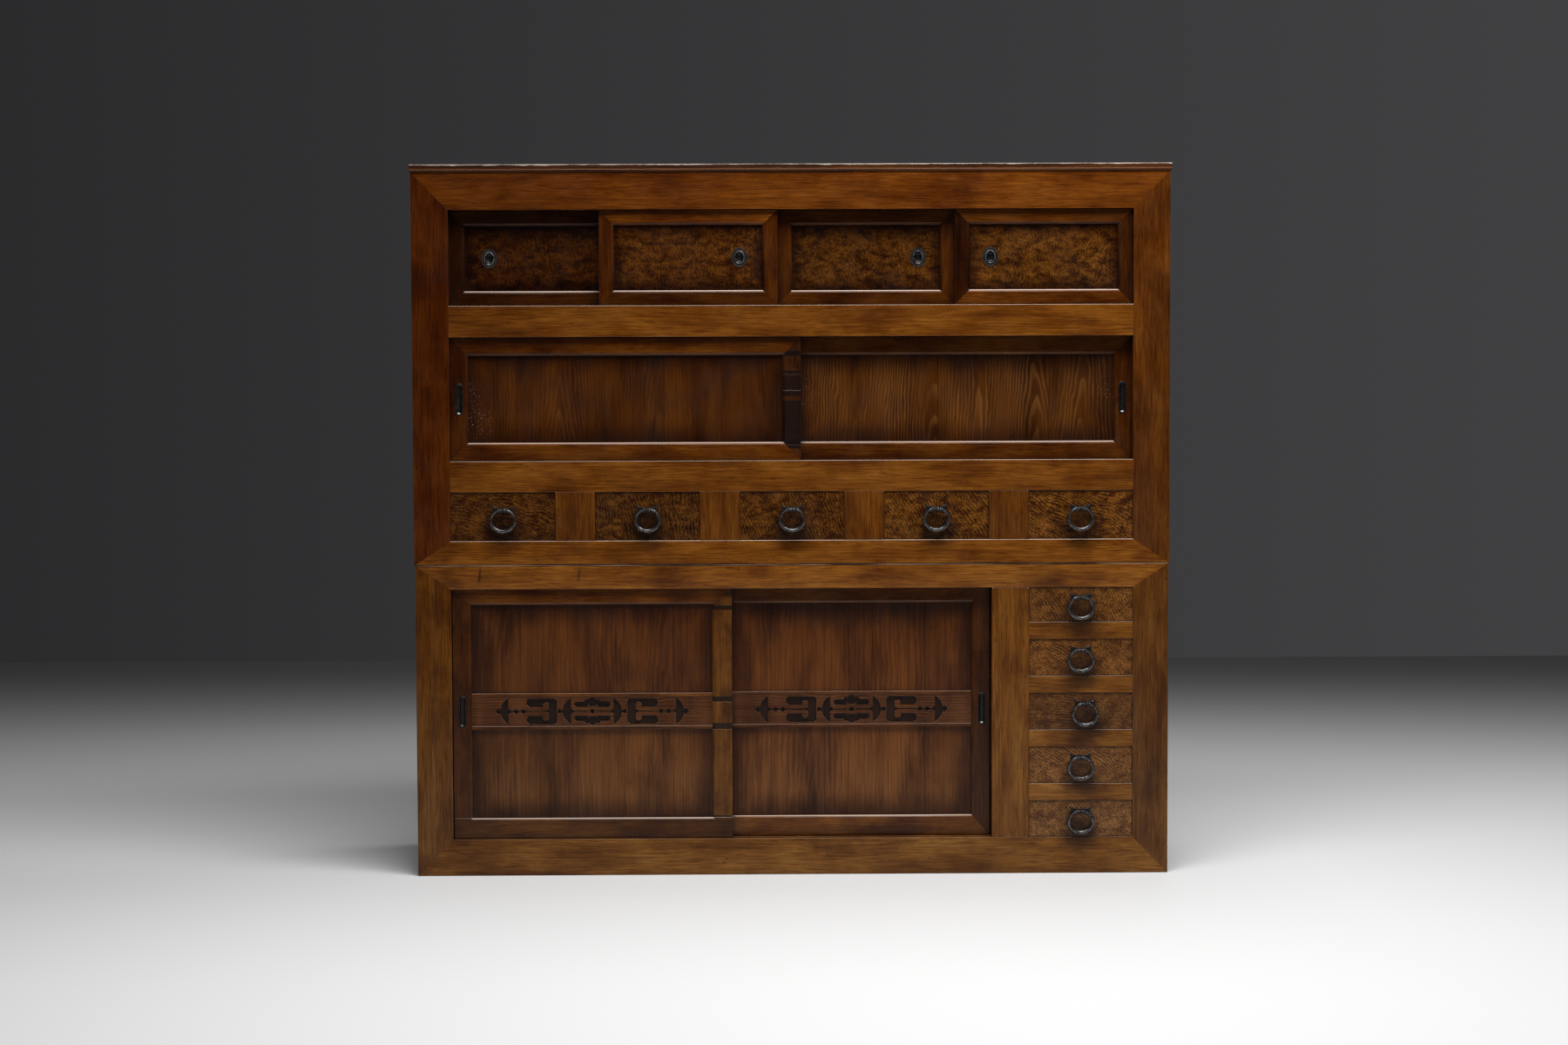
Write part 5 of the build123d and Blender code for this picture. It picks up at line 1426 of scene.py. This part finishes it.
# %% Back plate
PIVOT_Y = -0.2248
PLATE_BACK, PLATE_FRONT = -0.2163, -0.2178
BARE_AND_LIT = 1
EAR = ((0.0180, 0.0070), (0.0255, 0.0115), (0.0232, 0.0030), (0.0250, -0.0060), (0.0180, -0.0085))
LOWER_HOLLOW, UPPER_HOLLOW, HOLLOW_STEPS = 0.0030, 0.0022, 8
PLATE_ROUND, FACES_UP = 0.0005, 0.4


def plate_outline():
    """Points round the plate: its ears, and two hollow edges between them."""
    (half, top), (_, bottom) = EAR[0], EAR[-1]
    shares = [step / HOLLOW_STEPS for step in range(1, HOLLOW_STEPS)]
    lower = [(half * (1 - 2 * share), bottom + LOWER_HOLLOW * math.sin(math.pi * share)) for share in shares]
    left = [(-x, z) for x, z in reversed(EAR)]
    upper = [(half * (2 * share - 1), top - UPPER_HOLLOW * math.sin(math.pi * share)) for share in shares]
    return list(EAR) + lower + left + upper


def plate_shape():
    """Plate, split pin and nail heads about the ring's pivot."""
    shape = bmesh.new()
    points = [shape.verts.new((x, PLATE_BACK - PIVOT_Y, z)) for x, z in plate_outline()]
    front = bmesh.ops.extrude_face_region(shape, geom=[shape.faces.new(points)])["geom"]
    moved = [item for item in front if isinstance(item, bmesh.types.BMVert)]
    bmesh.ops.translate(shape, vec=(0, PLATE_FRONT - PLATE_BACK, 0), verts=moved)
    rim = [edge for edge in shape.edges if all(vertex in moved for vertex in edge.verts)]
    round_edges(shape, rim, PLATE_ROUND)
    bmesh.ops.recalc_face_normals(shape, faces=shape.faces)
    for face in shape.faces:
        # painted highlight: the plate's upward faces get the pale iron
        face.material_index = BARE_AND_LIT if face.normal.z > FACES_UP else 0
    add_pin(shape)
    for side in (-1, 1):
        add_nail_head(shape, side * NAIL_X, PLATE_FRONT - PIVOT_Y, NAIL_Z)
    bmesh.ops.recalc_face_normals(shape, faces=shape.faces)
    return shape


one_plate = plate_shape()
print("plate faces", len(one_plate.faces))

# %% [markdown]
# ## Hanging the rings
# All ten pulls are alike, so one ring and one plate are copied to each drawer. Every
# copy is a piece of its own, because each ring swings by itself. The place goes into the
# mesh and not on the object, as the frame's own parts have it.

# %% Hang the rings
PULL_RISE = {"top": 0.015, "side": 0.017}
IRON_CREASE = math.radians(42)


def show_iron(name, shape, materials, body, node, place):
    """Shows a copy of an iron shape at a place."""
    mesh = bpy.data.meshes.new(name)
    shape.to_mesh(mesh)
    mesh.transform(Matrix.Translation(place))
    for material in materials:
        mesh.materials.append(material)
    for polygon in mesh.polygons:
        polygon.use_smooth = True
    mesh.set_sharp_from_angle(angle=IRON_CREASE)
    return add_piece(name, mesh, body, node)


for node in DRAWER_LOOKS:
    low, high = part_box(node)
    ring_low, ring_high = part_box(node + "_ring")
    rise = PULL_RISE[node.split("_")[0]]
    pivot = ((ring_low[0] + ring_high[0]) / 2, PIVOT_Y, (low[2] + high[2]) / 2 + rise)
    show_iron(node + "_ring_pull", one_ring, [ring_iron], node + "_ring", node + "_ring", pivot)
    show_iron(node + "_back_plate", one_plate, [plate_iron, bare_and_lit_iron], node, node + "_plate", pivot)
print("rings hung", len(DRAWER_LOOKS))

# %% [markdown]
# ## Oval finger cups
# A sliding door has no knob, as it has to pass behind its neighbour. It gets a cup of
# beaten iron, let into the wood, with a flange that hides the hole. The small doors have
# oval ones with a beaded rim. The cup is lathed round and then drawn out up and down,
# which keeps its rim of one width better than scaling it would.

# %% Oval cup
OVAL_PROFILE = ((0.0, 0.0068), (0.0050, 0.0066), (0.0078, 0.0056), (0.0092, 0.0030), (0.0095, -0.0020),
                (0.0099, -0.0032), (0.0105, -0.0035), (0.0111, -0.0033), (0.0115, -0.0026),
                (0.0121, -0.0014), (0.0135, -0.0009), (0.0155, -0.0010), (0.0162, -0.0013),
                (0.0168, -0.0019), (0.0177, -0.0020), (0.0186, -0.0016), (0.0190, -0.0006),
                (0.0190, 0.0), (0.0106, 0.0), (0.0106, 0.0080), (0.0, 0.0080))
OVAL_STEPS = 160
OVAL_RIM = (0.0097, 0.0118)
RIM_FRONT, FLANGE_FRONT = -0.001, -0.0003
OVAL_DRAWN, FULLY_DRAWN_FROM = 0.004, 0.0110
BEAD_COUNT, BEADED_FROM = 40, 0.0160
BEAD_DIP, BEAD_WAIST = 0.0009, 0.020


def lathed_cup(profile, steps):
    """A cup about the Y axis from (radius, y) points, with no point at z = 0."""
    shape = bmesh.new()
    lathe(shape, [(y, radius) for radius, y in profile], Y_AXIS, steps, start=math.pi / steps)
    return shape


def oval_cup_shape():
    shape = lathed_cup(OVAL_PROFILE, OVAL_STEPS)
    for face in shape.faces:
        middle = face.calc_center_median()
        is_rim = OVAL_RIM[0] < math.hypot(middle.x, middle.z) < OVAL_RIM[1] and middle.y < RIM_FRONT
        # the cup's rim gets the pale iron: rubbed bare and a painted highlight
        face.material_index = BARE_AND_LIT if is_rim else 0
    for vertex in shape.verts:
        x, y, z = vertex.co
        radius = math.hypot(x, z)
        if radius < SAME_POINT:
            continue
        if radius > BEADED_FROM and y < FLANGE_FRONT:
            dip = 0.5 - 0.5 * math.cos(BEAD_COUNT * math.atan2(x, z))
            vertex.co.y = y + BEAD_DIP * dip
            vertex.co.x = x * (1 - BEAD_WAIST * dip)
            z = z * (1 - BEAD_WAIST * dip)
        vertex.co.z = z * (radius + OVAL_DRAWN * min(1.0, radius / FULLY_DRAWN_FROM)) / radius
    return shape


one_oval = oval_cup_shape()
print("oval cup faces", len(one_oval.faces))

# %% [markdown]
# ## Long finger cups
# The large doors have long cups. They are lathed like the oval ones and parted at their
# middle: each half is moved away from the other, which stretches the faces between
# them into straight sides between two half rounds.

# %% Long cup
SLOT_PROFILE = ((0.0008, 0.0070), (0.0030, 0.0069), (0.0050, 0.0060), (0.0060, 0.0040), (0.00625, -0.0002),
                (0.0064, -0.0010), (0.0070, -0.0014), (0.0080, -0.0015), (0.0086, -0.0012),
                (0.0091, -0.0006), (0.00925, 0.0), (0.0075, 0.0), (0.0075, 0.0080), (0.0008, 0.0080))
SLOT_STEPS = 48
SLOT_STRAIGHT = 0.0565
LOWER_END_FROM = 0.0025
WALL_FRONT, WALL_BACK, FACES_BACK = 0.0005, 0.0066, 0.2
OVAL_PROUD, SLOT_PROUD = 0.0035, 0.0015


def slot_cup_shape():
    shape = lathed_cup(SLOT_PROFILE, SLOT_STEPS)
    for vertex in shape.verts:
        vertex.co.z += math.copysign(SLOT_STRAIGHT / 2, vertex.co.z)
    bmesh.ops.holes_fill(shape, edges=[edge for edge in shape.edges if edge.is_boundary])
    bmesh.ops.recalc_face_normals(shape, faces=shape.faces)
    for face in shape.faces:
        middle = face.calc_center_median()
        is_low = middle.z < -SLOT_STRAIGHT / 2 - LOWER_END_FROM
        is_wall = WALL_FRONT < middle.y < WALL_BACK and face.normal.y < FACES_BACK
        # painted highlight: the lower inner end of the long cup gets the pale iron
        face.material_index = BARE_AND_LIT if is_low and is_wall else 0
    return shape


one_slot = slot_cup_shape()
for node in DOOR_PANEL_LOOKS:
    low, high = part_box(node + "_pull")
    shape, proud = (one_oval, OVAL_PROUD) if "small" in node else (one_slot, SLOT_PROUD)
    middle = ((low[0] + high[0]) / 2, low[1] + proud, (low[2] + high[2]) / 2)
    show_iron(node + "_finger_cup", shape, [cup_iron, bare_and_lit_iron], node, node + "_pull", middle)
print("long cup faces", len(one_slot.faces))
